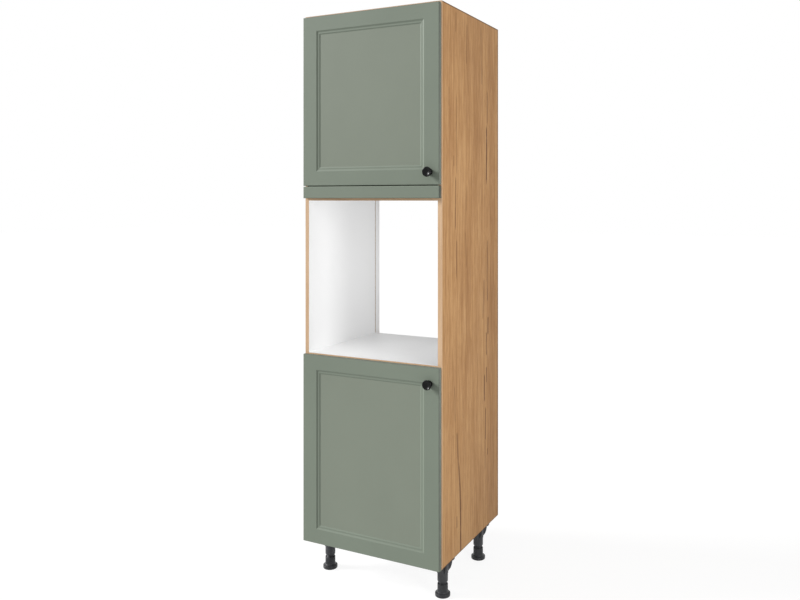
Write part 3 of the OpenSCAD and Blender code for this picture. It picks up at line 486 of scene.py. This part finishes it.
class Wiring:
    """A material, whose nodes are made and joined by short calls."""

    def __init__(self, name):
        self.material = bpy.data.materials.new(name)
        self.material.use_nodes = True
        self.tree = self.material.node_tree
        self.tree.nodes.clear()
        self.place = self.node("ShaderNodeTexCoord").outputs["Object"]

    def node(self, kind, feeds=None, **settings):
        """Makes a node; feeds name its sockets, by name or number, and settings its choices."""
        made = self.tree.nodes.new(kind)
        for key, value in settings.items():
            setattr(made, key, value)
        for key, value in (feeds or {}).items():
            self.feed(made.inputs[key], value)
        return made

    def feed(self, socket, value):
        """Joins an output to a socket, or sets the socket's own value."""
        if isinstance(value, bpy.types.NodeSocket):
            self.tree.links.new(value, socket)
        elif socket.type == "RGBA" and len(value) == 3:
            socket.default_value = (*value, 1)
        else:
            socket.default_value = value

    def math(self, operation, *values):
        """A Math node's result."""
        return self.node(
            "ShaderNodeMath", dict(enumerate(values)), operation=operation
        ).outputs[0]

    def axes(self):
        """The place's x, y and z."""
        parts = self.node("ShaderNodeSeparateXYZ", {0: self.place})
        return parts.outputs[0], parts.outputs[1], parts.outputs[2]

    def noise(self, stretch, detail=2.0, roughness=0.5, shift=(0, 0, 0), distortion=0.0):
        """Noise, 0 to 1, with so many waves to the metre along each axis."""
        place = self.node(
            "ShaderNodeMapping", {"Vector": self.place, "Scale": stretch, "Location": shift}
        ).outputs[0]
        return self.node(
            "ShaderNodeTexNoise",
            {"Vector": place, "Scale": 1.0, "Detail": detail, "Roughness": roughness,
             "Distortion": distortion},
        ).outputs[0]

    def range(self, value, low, high, start=0.0, end=1.0):
        """Goes smoothly from start at low to end at high."""
        return self.node(
            "ShaderNodeMapRange",
            {"Value": value, "From Min": low, "From Max": high, "To Min": start, "To Max": end},
            interpolation_type="SMOOTHSTEP",
        ).outputs[0]

    def spread(self, noise, start=0.0, end=1.0):
        """Goes smoothly from start to end over the 0.3 to 0.7 that most of a noise lies in."""
        return self.range(noise, 0.3, 0.7, start, end)

    def ramp(self, value, low, high):
        """Goes evenly from 0 at low to 1 at high, and stays there."""
        return self.node(
            "ShaderNodeMapRange", {"Value": value, "From Min": low, "From Max": high}
        ).outputs[0]

    def above(self, value, limit):
        """1 where a value is above a limit, else 0."""
        return self.math("GREATER_THAN", value, limit)

    def below(self, value, limit):
        """1 where a value is below a limit, else 0."""
        return self.math("LESS_THAN", value, limit)

    def blend(self, share, first, second):
        """A colour between two."""
        made = self.node("ShaderNodeMix", data_type="RGBA")
        self.feed(made.inputs["Factor"], share)
        self.feed(made.inputs[6], first)
        self.feed(made.inputs[7], second)
        return made.outputs[2]

    def relief(self, height, distance, strength=1.0):
        """A normal from a height, whose 1 stands distance metres high."""
        return self.node(
            "ShaderNodeBump",
            {"Height": height, "Distance": distance, "Strength": strength},
        ).outputs[0]

    def close(self, colour, roughness, normal=None, **shader):
        """The surface; other keywords are the shader's own sockets, with _ for a space."""
        feeds = {"Base Color": colour, "Roughness": roughness}
        feeds.update({key.replace("_", " "): value for key, value in shader.items()})
        if normal is not None:
            feeds["Normal"] = normal
        surface = self.node("ShaderNodeBsdfPrincipled", feeds)
        end = self.node("ShaderNodeOutputMaterial")
        self.tree.links.new(surface.outputs[0], end.inputs[0])
        return self.material


def sage_material(name, node, paint_top_shade):
    """Matt foil on a front with a white back, and painted shade at its side and some top edges.

    The colour goes by place: towards the painted edge shade over the last 3 mm of the front, and
    to the sunk colour inside the frame's moulding. Slow noise clouds it a little.
    """
    finish = bpy.context.scene.housing_boards
    low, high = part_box(node)
    w = Wiring(name)
    x, y, z = w.axes()
    cloud = w.noise((3, 3, 2.2), detail=3)
    grain = w.noise((900, 900, 900), detail=2)
    from_side = w.math("SUBTRACT", (high[0] - low[0]) / 2, w.math("ABSOLUTE", x))
    sunk = w.above(y, low[1] + PANEL_DEPTH)
    colour = w.blend(sunk, finish.sage, finish.sage_sunk)
    colour = w.node(
        "ShaderNodeVectorMath", {0: colour, "Scale": w.spread(cloud, 1, 0.95)}, operation="SCALE"
    ).outputs[0]
    # Painted shade on the rounded side edges and the doors' top edges, broken up by noise
    edge = w.range(from_side, 0.6 * MM, 3.2 * MM, 1, 0)
    if paint_top_shade:
        from_top = w.math("SUBTRACT", high[2], z)
        edge = w.math("MAXIMUM", edge, w.range(from_top, 1.0 * MM, 3.6 * MM, 1, 0))
    edge = w.math("MULTIPLY", edge, w.range(w.noise((40, 40, 40)), 0.2, 0.6, 0.75, 1))
    colour = w.blend(edge, colour, finish.sage_edge_shade)
    back = w.range(y, high[1] - 2 * SKIN, high[1] - SKIN)
    colour = w.blend(back, colour, finish.white)
    rough = w.range(cloud, 0.2, 0.8, 0.5, 0.6)
    return w.close(colour, rough, w.relief(grain, 0.03 * MM, 0.5), Specular_IOR_Level=0.32)


# Dark cracks and knots in the oak of a side. Each runs from (y, z) to (y, z), in metres behind the
# front edge and above the board's foot, and has a half width in millimetres and a darkness.
SHOWN_CRACKS = (
    (0.428, 1.400, 0.430, 1.660, 8.0, 1.00),
    (0.437, 1.650, 0.437, 1.800, 6.5, 0.62),
    (0.378, 1.809, 0.366, 2.060, 9.0, 0.30),
    (0.380, 1.810, 0.380, 1.885, 9.0, 0.32),
    (0.129, 1.430, 0.132, 1.760, 5.5, 0.40),
    (0.119, 1.225, 0.122, 1.440, 6.5, 0.66),
    (0.129, 1.040, 0.130, 1.200, 6.5, 0.50),
    (0.438, 1.040, 0.438, 1.185, 7.0, 0.55),
    (0.438, 0.920, 0.438, 1.070, 7.0, 0.60),
    (0.444, 0.785, 0.446, 0.865, 11.0, 0.62),
    (0.388, 0.850, 0.405, 1.030, 13.0, 0.30),
    (0.428, 0.700, 0.426, 0.805, 8.0, 0.72),
    (0.407, 0.515, 0.407, 0.635, 8.0, 0.82),
    (0.428, 0.590, 0.429, 0.660, 7.5, 0.66),
    (0.417, 0.350, 0.417, 0.500, 7.0, 0.78),
    (0.412, 0.230, 0.417, 0.370, 8.0, 0.30),
    (0.438, 0.290, 0.439, 0.320, 7.0, 0.55),
    (0.116, 0.500, 0.111, 0.650, 6.5, 0.34),
    (0.148, 0.330, 0.134, 0.470, 9.5, 0.52),
    (0.161, 0.250, 0.147, 0.355, 9.5, 0.70),
    (0.167, 0.150, 0.160, 0.275, 9.0, 0.84),
    (0.168, -0.040, 0.166, 0.190, 7.5, 1.00),
    (0.132, 0.100, 0.132, 0.150, 6.5, 0.50),
    (0.220, 1.295, 0.224, 1.405, 8.0, 0.22),
    (0.224, 1.075, 0.213, 1.230, 8.0, 0.25),
    (0.062, 1.690, 0.060, 1.770, 6.5, 0.34),
    (0.104, 1.470, 0.104, 1.515, 7.5, 0.30),
    (0.123, 1.975, 0.124, 2.060, 7.5, 0.32),
    (0.224, 1.865, 0.227, 2.035, 12.0, 0.22),
)
OTHER_CRACKS = (
    (0.150, 1.250, 0.146, 1.690, 5.5, 0.8),
    (0.452, 0.380, 0.446, 0.900, 5.0, 0.6),
    (0.300, 0.060, 0.312, 0.420, 4.5, 0.5),
    (0.096, 0.500, 0.102, 0.830, 4.5, 0.5),
    (0.380, 1.480, 0.384, 1.900, 4.5, 0.45),
)


def crack_mask(w, cracks, y, z, front, base):
    """Where the cracks are, 0 to 1.

    A crack has its full darkness on a line between its ends, which a slow noise bends to and fro.
    It fades out over its half width and towards both ends, and a quicker noise breaks it up.
    """
    sway = w.math("MULTIPLY", w.math("SUBTRACT", w.noise((1, 6, 9), shift=(5, 0, 0)), 0.5), 0.009)
    swayed = w.math("ADD", y, sway)
    broken = w.range(w.noise((1, 30, 22), detail=3), 0.3, 0.5, 0.72, 1)
    total = 0.0
    for y_low, z_low, y_high, z_high, half, depth in cracks:
        share = w.ramp(z, z_low + base, z_high + base)
        middle = w.math("MULTIPLY_ADD", share, y_high - y_low, y_low + front)
        off = w.math("ABSOLUTE", w.math("SUBTRACT", swayed, middle))
        ends = w.math("MULTIPLY", w.range(share, 0.001, 0.12), w.range(share, 0.88, 0.999, 1, 0))
        line = w.math("MULTIPLY", w.range(off, 0.2 * half * MM, half * MM, depth, 0), ends)
        total = w.math("MAXIMUM", total, line)
    return w.math("MULTIPLY", total, broken)


def chip_colour(w):
    """Raw chipboard, as in bores and cut edges: pale and dark flakes 1 to 4 mm long."""
    finish = bpy.context.scene.housing_boards
    flakes = w.node(
        "ShaderNodeTexVoronoi", {"Vector": w.place, "Scale": 420.0, "Randomness": 1.0}
    ).outputs["Color"]
    grey = w.node("ShaderNodeRGBToBW", {0: flakes}).outputs[0]
    return w.blend(grey, finish.chip_light, finish.chip_dark)


def oak_material(name, node, cracks, seed):
    """A side board: oak-look foil outside, white inside, raw chipboard in bores and cut edges.

    The grain runs up the board. Planks about 90 mm wide differ a little, broad flames and growth
    lines that a slow noise bends shift the colour from light over middle to dark oak, and so do
    fine fibre and short pores, and a painted shade that darkens it towards the rear. Cracks darken
    it; painted shade darkens the last millimetres at its rear, foot and top, and a painted
    highlight makes its front edge paler.
    """
    finish = bpy.context.scene.housing_boards
    low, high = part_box(node)
    w = Wiring(name)
    x, y, z = w.axes()
    shift = (seed, 0, seed * 0.7)
    planks = w.noise((1, 10, 0.4), detail=2, roughness=0.4, shift=shift)
    flames = w.noise((1, 34, 2.6), detail=3, roughness=0.5, shift=shift, distortion=0.4)
    streaks = w.noise((1, 90, 3.0), detail=3, roughness=0.55, shift=shift, distortion=0.5)
    lines = w.noise((1, 210, 5), detail=4, roughness=0.65, shift=shift, distortion=0.5)
    fibre = w.noise((1, 420, 18), detail=3, roughness=0.6, shift=shift)
    pores = w.noise((1, 520, 30), detail=2, shift=shift)
    cloud = w.noise((1, 8, 4.2), detail=3, shift=(seed + 3, 0, 0))
    # Painted shade: the oak goes darker towards the rear
    rear_shade = w.ramp(y, low[1], high[1])
    figure = w.math("MULTIPLY", w.spread(planks), 0.20)
    for part, share in ((flames, 0.09), (streaks, 0.22), (lines, 0.25), (fibre, 0.25),
                        (cloud, 0.15)):
        figure = w.math("MULTIPLY_ADD", w.spread(part), share, figure)
    figure = w.math("MULTIPLY_ADD", rear_shade, 0.12, figure)
    colour = w.blend(w.ramp(figure, 0.15, 0.62), finish.oak_light, finish.oak_mid)
    colour = w.blend(w.ramp(figure, 0.55, 1.15), colour, finish.oak_dark)
    pore = w.range(pores, 0.6, 0.7, 0, 0.45)
    colour = w.blend(pore, colour, finish.oak_dark)
    crack = crack_mask(w, cracks, y, z, low[1], low[2])
    colour = w.blend(crack, colour, finish.oak_crack_and_rim_shade)
    # Painted shade along the rear, foot and top edges of the side
    rim = 0.0
    for off, full, gone, depth in ((w.math("SUBTRACT", high[1], y), 3.0, 10, 0.8),
                                   (w.math("SUBTRACT", z, low[2]), 0.8, 4, 0.8),
                                   (w.math("SUBTRACT", high[2], z), 2.0, 6, 0.9)):
        rim = w.math("MAXIMUM", rim, w.range(off, full * MM, gone * MM, depth, 0))
    colour = w.blend(rim, colour, finish.oak_crack_and_rim_shade)
    # Painted highlight along the side's front edge
    front = w.math("SUBTRACT", y, low[1])
    colour = w.blend(w.range(front, 2.5 * MM, 8.0 * MM, 0.8, 0), colour, finish.band_light_and_front_highlight)
    across = w.math("ABSOLUTE", x)
    inner, outer = sorted((abs(low[0]), abs(high[0])))
    outside = w.above(across, outer - SKIN)
    inside = w.below(across, inner + SKIN)
    colour = w.blend(outside, chip_colour(w), colour)
    colour = w.blend(inside, colour, finish.white)
    height = w.math("MULTIPLY_ADD", fibre, 0.5, w.math("MULTIPLY", lines, 0.5))
    height = w.math("SUBTRACT", height, w.math("MULTIPLY", crack, 0.8))
    height = w.math("MULTIPLY", height, outside)
    rough = w.spread(lines, 0.5, 0.62)
    return w.close(colour, rough, w.relief(height, 0.12 * MM, 0.6), Specular_IOR_Level=0.2)


def white_material(name, node, banded_front=False):
    """A board faced white above and below, with raw chipboard at its edges and in its bores."""
    finish = bpy.context.scene.housing_boards
    low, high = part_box(node)
    w = Wiring(name)
    _, y, z = w.axes()
    off = w.math("ABSOLUTE", w.math("SUBTRACT", z, (low[2] + high[2]) / 2))
    faced = w.above(off, (high[2] - low[2]) / 2 - SKIN)
    if banded_front:
        faced = w.math("MAXIMUM", faced, w.below(y, low[1] + SKIN))
    cloud = w.noise((5, 5, 5), detail=3)
    pearl = w.noise((700, 700, 700), detail=1)
    white = w.blend(w.spread(cloud, 0, 0.5), finish.white, dimmed(finish.white, 0.965))
    colour = w.blend(faced, chip_colour(w), white)
    return w.close(
        colour, w.spread(cloud, 0.4, 0.5), w.relief(pearl, 0.02 * MM, 0.5),
        Specular_IOR_Level=0.4,
    )


def back_panel_material(name, node):
    """Thin hardboard, painted white towards the inside and left raw and brown behind."""
    finish = bpy.context.scene.housing_boards
    w = Wiring(name)
    fuzz = w.noise((420, 420, 420), detail=3, roughness=0.7)
    cloud = w.noise((4, 4, 4), detail=3)
    brown = w.blend(
        w.math("MULTIPLY_ADD", fuzz, 0.5, w.math("MULTIPLY", cloud, 0.5)),
        dimmed(finish.hardboard, 1.25), dimmed(finish.hardboard, 0.72),
    )
    inside = w.below(w.axes()[1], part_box(node)[0][1] + SKIN)
    colour = w.blend(inside, brown, finish.white)
    rough = w.math("MULTIPLY_ADD", inside, -0.3, 0.8)
    return w.close(colour, rough, w.relief(fuzz, 0.06 * MM, 0.6), Specular_IOR_Level=0.3)


def band_material(name, inner):
    """Pale oak-look edge banding, whose grain runs along each strip."""
    finish = bpy.context.scene.housing_boards
    w = Wiring(name)
    upright = w.above(w.math("ABSOLUTE", w.axes()[0]), inner)
    rising = w.noise((700, 1, 7), detail=3, roughness=0.6)
    lying = w.noise((7, 1, 700), detail=3, roughness=0.6)
    slow = w.noise((9, 1, 2.2), detail=3)
    choice = w.node("ShaderNodeMix", {"Factor": upright, 2: lying, 3: rising}, data_type="FLOAT")
    grain = w.math("MULTIPLY_ADD", choice.outputs[0], 0.6, w.math("MULTIPLY", slow, 0.4))
    colour = w.blend(w.spread(grain), finish.band_light_and_front_highlight, finish.band_dark)
    return w.close(
        colour, w.spread(grain, 0.42, 0.55), w.relief(grain, 0.05 * MM, 0.5),
        Specular_IOR_Level=0.4,
    )


def metal_material(name, colour, brushed):
    """Plated steel: bright metal with fine scratches along Z, rubbed and stained unevenly."""
    w = Wiring(name)
    stain = w.noise((130, 130, 130), detail=4, roughness=0.6)
    scratch = w.noise((2600, 2600, 190), detail=2)
    tint = w.blend(w.spread(stain), colour, dimmed(colour, 0.82))
    worn = w.spread(stain, brushed, brushed + 0.12)
    rough = w.math("ADD", worn, w.spread(scratch, 0.0, 0.08))
    return w.close(tint, rough, w.relief(scratch, 0.01 * MM, 0.5), Metallic=1.0)


def plastic_material(name, colour, roughness, grain=0.05, specular=0.45):
    """Moulded plastic: a fine spark-eroded grain and a faint uneven gloss."""
    w = Wiring(name)
    cloud = w.noise((45, 45, 45), detail=3)
    spark = w.noise((1500, 1500, 1500), detail=2, roughness=0.6)
    tint = w.blend(w.spread(cloud), colour, dimmed(colour, 0.8))
    rough = w.spread(cloud, roughness - 0.05, roughness + 0.06)
    return w.close(tint, rough, w.relief(spark, grain * MM, 0.6), Specular_IOR_Level=specular)


def beech_material(name, colour):
    """Beech with grain along X, as in dowels."""
    w = Wiring(name)
    fibre = w.noise((30, 900, 900), detail=3)
    tint = w.blend(w.spread(fibre), colour, dimmed(colour, 0.7))
    return w.close(tint, 0.6, w.relief(fibre, 0.05 * MM, 0.6))


def give(material, *nodes):
    """Gives the frame's nodes a material in all their slots."""
    for name in nodes:
        slots = frame["nodes"][name].data.materials
        for index in range(len(slots)):
            slots[index] = material
        if not len(slots):
            slots.append(material)


# Operators ---------------------------------------------------------------------------------------


class HOUSING_OT_stage(bpy.types.Operator):
    """Camera, floor, white surroundings and lamps"""

    bl_idname = "housing.stage"
    bl_label = "Stage"

    VEIL = 1.085  # so that the veil and the lit floor together are white where no shadow falls
    REACH = 30.0  # how far the floor goes to each side

    def execute(self, context):
        scene, stage = context.scene, context.scene.housing_stage
        for add in (self.add_camera, self.add_floor, self.add_surroundings, self.add_key,
                    self.add_rear, self.add_fill, self.add_door_lamp, self.add_niche_lamps):
            add(scene, stage)
        scene.view_settings.view_transform = "Standard"
        return {"FINISHED"}

    @staticmethod
    def add_camera(scene, stage):
        data = bpy.data.cameras.new("Camera")
        data.sensor_width = 36
        data.lens = stage.lens
        data.shift_x, data.shift_y = stage.shift
        data.clip_start, data.clip_end = 0.05, 100
        camera = bpy.data.objects.new("Camera", data)
        camera.location = stage.camera_place
        camera.rotation_euler = (math.radians(90), 0, stage.camera_turn)
        scene.collection.objects.link(camera)
        scene.camera = camera

    @staticmethod
    def seen_rays(tree):
        """1 on camera, glossy and transmission rays, else 0."""
        path = tree.nodes.new("ShaderNodeLightPath")
        result = path.outputs["Is Camera Ray"]
        for name in ("Is Glossy Ray", "Is Transmission Ray"):
            most = tree.nodes.new("ShaderNodeMath")
            most.operation = "MAXIMUM"
            tree.links.new(result, most.inputs[0])
            tree.links.new(path.outputs[name], most.inputs[1])
            result = most.outputs[0]
        return result

    def add_floor(self, scene, stage):
        """A pale floor, duller to the unit than to the camera, so that it doesn't light the unit
        from below."""
        w = Wiring("Pale Floor")
        speckle = w.noise((2, 2, 2), detail=2)
        seen = self.seen_rays(w.tree)
        grey = w.blend(w.spread(speckle), (0.6,) * 3, (0.62,) * 3)
        shade = w.blend(seen, grey, (0.95,) * 3)
        matt = w.node("ShaderNodeBsdfDiffuse", {"Color": shade})
        plain = w.node("ShaderNodeEmission", {"Color": (1, 1, 1), "Strength": self.VEIL})
        share = w.math("MULTIPLY", seen, stage.floor_veil)
        both = w.node("ShaderNodeMixShader", {0: share, 1: matt.outputs[0], 2: plain.outputs[0]})
        end = w.node("ShaderNodeOutputMaterial")
        w.tree.links.new(both.outputs[0], end.inputs[0])
        mesh = bpy.data.meshes.new("Floor")
        corners = self.REACH * np.array(((-1, -1, 0), (1, -1, 0), (1, 1, 0), (-1, 1, 0)))
        mesh.from_pydata(corners.tolist(), [], [(0, 1, 2, 3)])
        mesh.materials.append(w.material)
        floor = bpy.data.objects.new("Floor", mesh)
        scene.collection.objects.link(floor)

    def add_surroundings(self, scene, stage):
        """Even light from all round, and a white that the camera and gloss see in its place."""
        world = bpy.data.worlds.new("White Surroundings")
        world.use_nodes = True
        tree = world.node_tree
        tree.nodes.clear()
        both = tree.nodes.new("ShaderNodeMixShader")
        tree.links.new(self.seen_rays(tree), both.inputs[0])
        for socket, light in ((1, stage.sky), (2, 1.0)):
            plain = tree.nodes.new("ShaderNodeBackground")
            plain.inputs["Color"].default_value = (1, 1, 1, 1)
            plain.inputs["Strength"].default_value = light
            tree.links.new(plain.outputs[0], both.inputs[socket])
        end = tree.nodes.new("ShaderNodeOutputWorld")
        tree.links.new(both.outputs[0], end.inputs[0])
        scene.world = world

    @staticmethod
    def place_lamp(scene, data, place, aim):
        """Hangs a lamp at a place, its light going along aim."""
        lamp = bpy.data.objects.new(data.name, data)
        lamp.location = place
        lamp.rotation_euler = Vector(aim).to_track_quat("-Z", "Y").to_euler()
        scene.collection.objects.link(lamp)
        return lamp

    def add_sun(self, scene, name, light, spread, place, aim):
        """A far lamp."""
        data = bpy.data.lights.new(name, "SUN")
        data.energy = light
        data.angle = spread
        return self.place_lamp(scene, data, place, aim)

    def add_area(self, scene, name, watts, size, place, aim):
        """A flat lamp of a width and a height, that isn't seen itself."""
        data = bpy.data.lights.new(name, "AREA")
        data.shape = "RECTANGLE"
        data.size, data.size_y = size
        data.energy = watts
        lamp = self.place_lamp(scene, data, place, aim)
        lamp.visible_camera = False
        return lamp

    @staticmethod
    def limit(lamp, state, *nodes):
        """Keeps a lamp off some boards, or on them alone, as flags on studio stands would."""
        flagged = bpy.data.collections.new(lamp.name + " Flags")
        for name in nodes:
            flagged.objects.link(frame["nodes"][name])
        for entry in flagged.collection_objects:
            entry.light_linking.link_state = state
        lamp.light_linking.receiver_collection = flagged

    def add_key(self, scene, stage):
        """The main light, from the left. It draws the fronts' mouldings. The sides and the niche's
        floor would be too bright in it, so they get none of it."""
        level = math.cos(stage.key_rise)
        aim = (math.sin(stage.key_side) * level, math.cos(stage.key_side) * level,
               -math.sin(stage.key_rise))
        lamp = self.add_sun(scene, "Key Light", stage.key, stage.spread, (-3, -2, 3), aim)
        self.limit(lamp, "EXCLUDE", "niche_floor", "side_left", "side_right")

    def add_rear(self, scene, stage):
        """A light from behind on the left, for the left side and the backs alone."""
        lamp = self.add_sun(
            scene, "Rear Light", stage.rear, stage.spread, (-3, 2, 3), (0.74, -0.52, -0.42))
        self.limit(lamp, "INCLUDE", "side_left", "back_panel_lower", "back_panel_upper")

    def add_fill(self, scene, stage):
        """A tall lamp on the right for the oak side. The fronts get none of it, so that the key
        alone draws their mouldings."""
        lamp = self.add_area(
            scene, "Fill Lamp", stage.fill, (0.6, 1.2), (2.1, -0.95, 1.45), (-1, 0.38, 0))
        self.limit(lamp, "EXCLUDE", "door_lower", "door_upper", "filler_strip")

    def add_door_lamp(self, scene, stage):
        """A tall lamp on the right, behind the closed doors' plane, for open doors' backs."""
        lamp = self.add_area(
            scene, "Door Lamp", stage.door, (0.3, 1.8), (1.3, 0, 1.2), (-1, -0.2, 0))
        self.limit(lamp, "INCLUDE", "door_lower", "door_upper")

    def add_niche_lamps(self, scene, stage):
        """Two weak lamps in the niche: at its right wall for the left wall, and by its left front
        corner for its floor."""
        floor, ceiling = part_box("niche_floor")[1][2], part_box("niche_ceiling")[0][2]
        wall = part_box("side_right")[0][0]
        place = (wall - 0.01, 0.08, 0.45 * floor + 0.55 * ceiling)
        lamp = self.add_area(scene, "Niche Lamp", stage.niche, (0.4, 0.3), place, (-1, 0, 0))
        self.limit(lamp, "INCLUDE", "side_left")
        place = (0.16 - wall, -0.33, floor + 0.41)
        lamp = self.add_area(
            scene, "Niche Floor Lamp", stage.niche_floor, (0.2, 0.2), place, (0.1, 0.5, -1))
        self.limit(lamp, "INCLUDE", "niche_floor")


class HOUSING_OT_fronts(bpy.types.Operator):
    """Sage foil on the two doors and the filler strip"""

    bl_idname = "housing.fronts"
    bl_label = "Fronts"

    def execute(self, context):
        for node in ("door_lower", "door_upper", "filler_strip"):
            give(sage_material("Sage Foil " + node, node, node != "filler_strip"), node)
        return {"FINISHED"}


class HOUSING_OT_carcass(bpy.types.Operator):
    """Oak sides, white boards, shelves, edge banding and back panels"""

    bl_idname = "housing.carcass"
    bl_label = "Carcass"

    def execute(self, context):
        finish = context.scene.housing_boards
        give(oak_material("Oak Right Side", "side_right", SHOWN_CRACKS, 2.0), "side_right")
        give(oak_material("Oak Left Side", "side_left", OTHER_CRACKS, 11.0), "side_left")
        for node in ("bottom_panel", "niche_floor", "niche_ceiling", "top_panel"):
            give(white_material("White Board " + node, node), node)
        for node in ("shelf_lower", "shelf_upper"):
            give(white_material("White Board " + node, node, banded_front=True), node)
        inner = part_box("side_right")[0][0]
        give(band_material("Pale Oak Banding", inner), "front_edge_bands")
        for node in ("back_panel_lower", "back_panel_upper"):
            give(back_panel_material("Back Board " + node, node), node)
        give(beech_material("Beech", finish.beech), "dowels")
        return {"FINISHED"}


class HOUSING_OT_knobs(bpy.types.Operator):
    """Turned black knobs with a dished face"""

    bl_idname = "housing.knobs"
    bl_label = "Knobs"

    def execute(self, context):
        black = plastic_material(
            "Black Knob", context.scene.housing_hardware.knob, 0.28, grain=0.002, specular=0.17)
        points, faces = knob_form()
        for level in ("lower", "upper"):
            node = "knob_" + level
            low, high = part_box(node)
            place = np.array(((low[0] + high[0]) / 2, high[1], (low[2] + high[2]) / 2))
            shape = points @ along((0, -1, 0)).T + place
            add_piece("turned_knob_" + level, [(shape, faces)], node, black)
        return {"FINISHED"}


class HOUSING_OT_legs(bpy.types.Operator):
    """Leg sockets, ribbed tubes and screw feet"""

    bl_idname = "housing.legs"
    bl_label = "Legs"

    def execute(self, context):
        finish, shape = context.scene.housing_hardware, context.scene.housing_shapes
        moulded = plastic_material("Leg Plastic", finish.leg, 0.42, specular=0.26)
        give(moulded, "leg_sockets")
        points, faces = tube_form(shape)
        spots = [(solid.min(axis=0) + solid.max(axis=0)) / 2 for solid in solids_of("leg_tubes")]
        tubes = [(points + (spot[0], spot[1], 0), faces) for spot in spots]
        add_piece("ribbed_leg_tubes", tubes, "leg_tubes", moulded, smooth_angle=30)
        darker = plastic_material("Foot Plastic", finish.foot, 0.34, specular=0.26)
        points, faces = foot_form(shape)
        for row in ("front", "rear"):
            for side in ("left", "right"):
                node = f"foot_{row}_{side}"
                low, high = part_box(node)
                place = ((low[0] + high[0]) / 2, (low[1] + high[1]) / 2, low[2])
                add_piece(f"screw_foot_{row}_{side}", [(points + place, faces)], node,
                          darker, smooth_angle=30)
        return {"FINISHED"}


class HOUSING_OT_hinges(bpy.types.Operator):
    """Nickel-plated cups, links, arms and mounting plates"""

    bl_idname = "housing.hinges"
    bl_label = "Hinges"

    def execute(self, context):
        nickel = metal_material("Nickel Plate", context.scene.housing_hardware.nickel, 0.22)
        give(nickel, *(n for n in frame["nodes"] if n.startswith("hinge_") and "screw" not in n))
        return {"FINISHED"}


class HOUSING_OT_fittings(bpy.types.Operator):
    """Screws, cams, pins, brackets and bumpers"""

    bl_idname = "housing.fittings"
    bl_label = "Screws and fittings"

    def execute(self, context):
        finish, shape = context.scene.housing_hardware, context.scene.housing_shapes
        zinc = metal_material("Zinc Plate", finish.zinc, 0.3)
        give(zinc, "cam_bolts", "cam_locks", "shelf_pins", "strip_brackets", "wall_brackets")
        for node in [n for n in frame["nodes"] if "screw" in n]:
            machined = node.startswith(("knob_screw", "hinge_arm_screws"))
            pitch = shape.metal_pitch if machined else shape.wood_pitch
            point = 0.8 * MM if machined else 2.5 * MM
            add_piece("cross_headed_" + node, screws_like(node, pitch, point), node,
                      zinc)
        clear = plastic_material("Bumper Plastic", finish.bumper, 0.35)
        points, faces = bumper_form()
        points = points @ along((0, 1, 0)).T
        for level in ("lower", "upper"):
            node = "bumpers_" + level
            pads = []
            for solid in solids_of(node):
                low, high = solid.min(axis=0), solid.max(axis=0)
                spot = np.array(((low[0] + high[0]) / 2, low[1], (low[2] + high[2]) / 2))
                pads.append((points + spot, faces))
            add_piece("domed_bumpers_" + level, pads, node, clear)
        return {"FINISHED"}


class HOUSING_PT_panel(bpy.types.Panel):
    """Steps and settings of the housing unit"""

    bl_label = "Housing Unit"
    bl_idname = "HOUSING_PT_panel"
    bl_space_type = "VIEW_3D"
    bl_region_type = "UI"
    bl_category = "Housing Unit"

    def draw(self, context):
        for operator in OPERATORS:
            self.layout.operator(operator.bl_idname)
        for name in SETTINGS:
            box = self.layout.box()
            group = getattr(context.scene, name)
            for key in group.__annotations__:
                box.prop(group, key)


SETTINGS = {
    "housing_stage": StageSettings,
    "housing_boards": BoardFinish,
    "housing_hardware": HardwareFinish,
    "housing_shapes": FittingShape,
}
OPERATORS = (
    HOUSING_OT_stage, HOUSING_OT_fronts, HOUSING_OT_carcass, HOUSING_OT_knobs,
    HOUSING_OT_legs, HOUSING_OT_hinges, HOUSING_OT_fittings,
)


def register():
    for made in (*SETTINGS.values(), *OPERATORS, HOUSING_PT_panel):
        bpy.utils.register_class(made)
    for name, group in SETTINGS.items():
        setattr(bpy.types.Scene, name, bpy.props.PointerProperty(type=group))


def unregister():
    for name in SETTINGS:
        delattr(bpy.types.Scene, name)
    for made in reversed((*SETTINGS.values(), *OPERATORS, HOUSING_PT_panel)):
        bpy.utils.unregister_class(made)


def main():
    register()
    for operator in OPERATORS:
        group, name = operator.bl_idname.split(".")
        getattr(getattr(bpy.ops, group), name)()


if __name__ == "__main__":
    main()
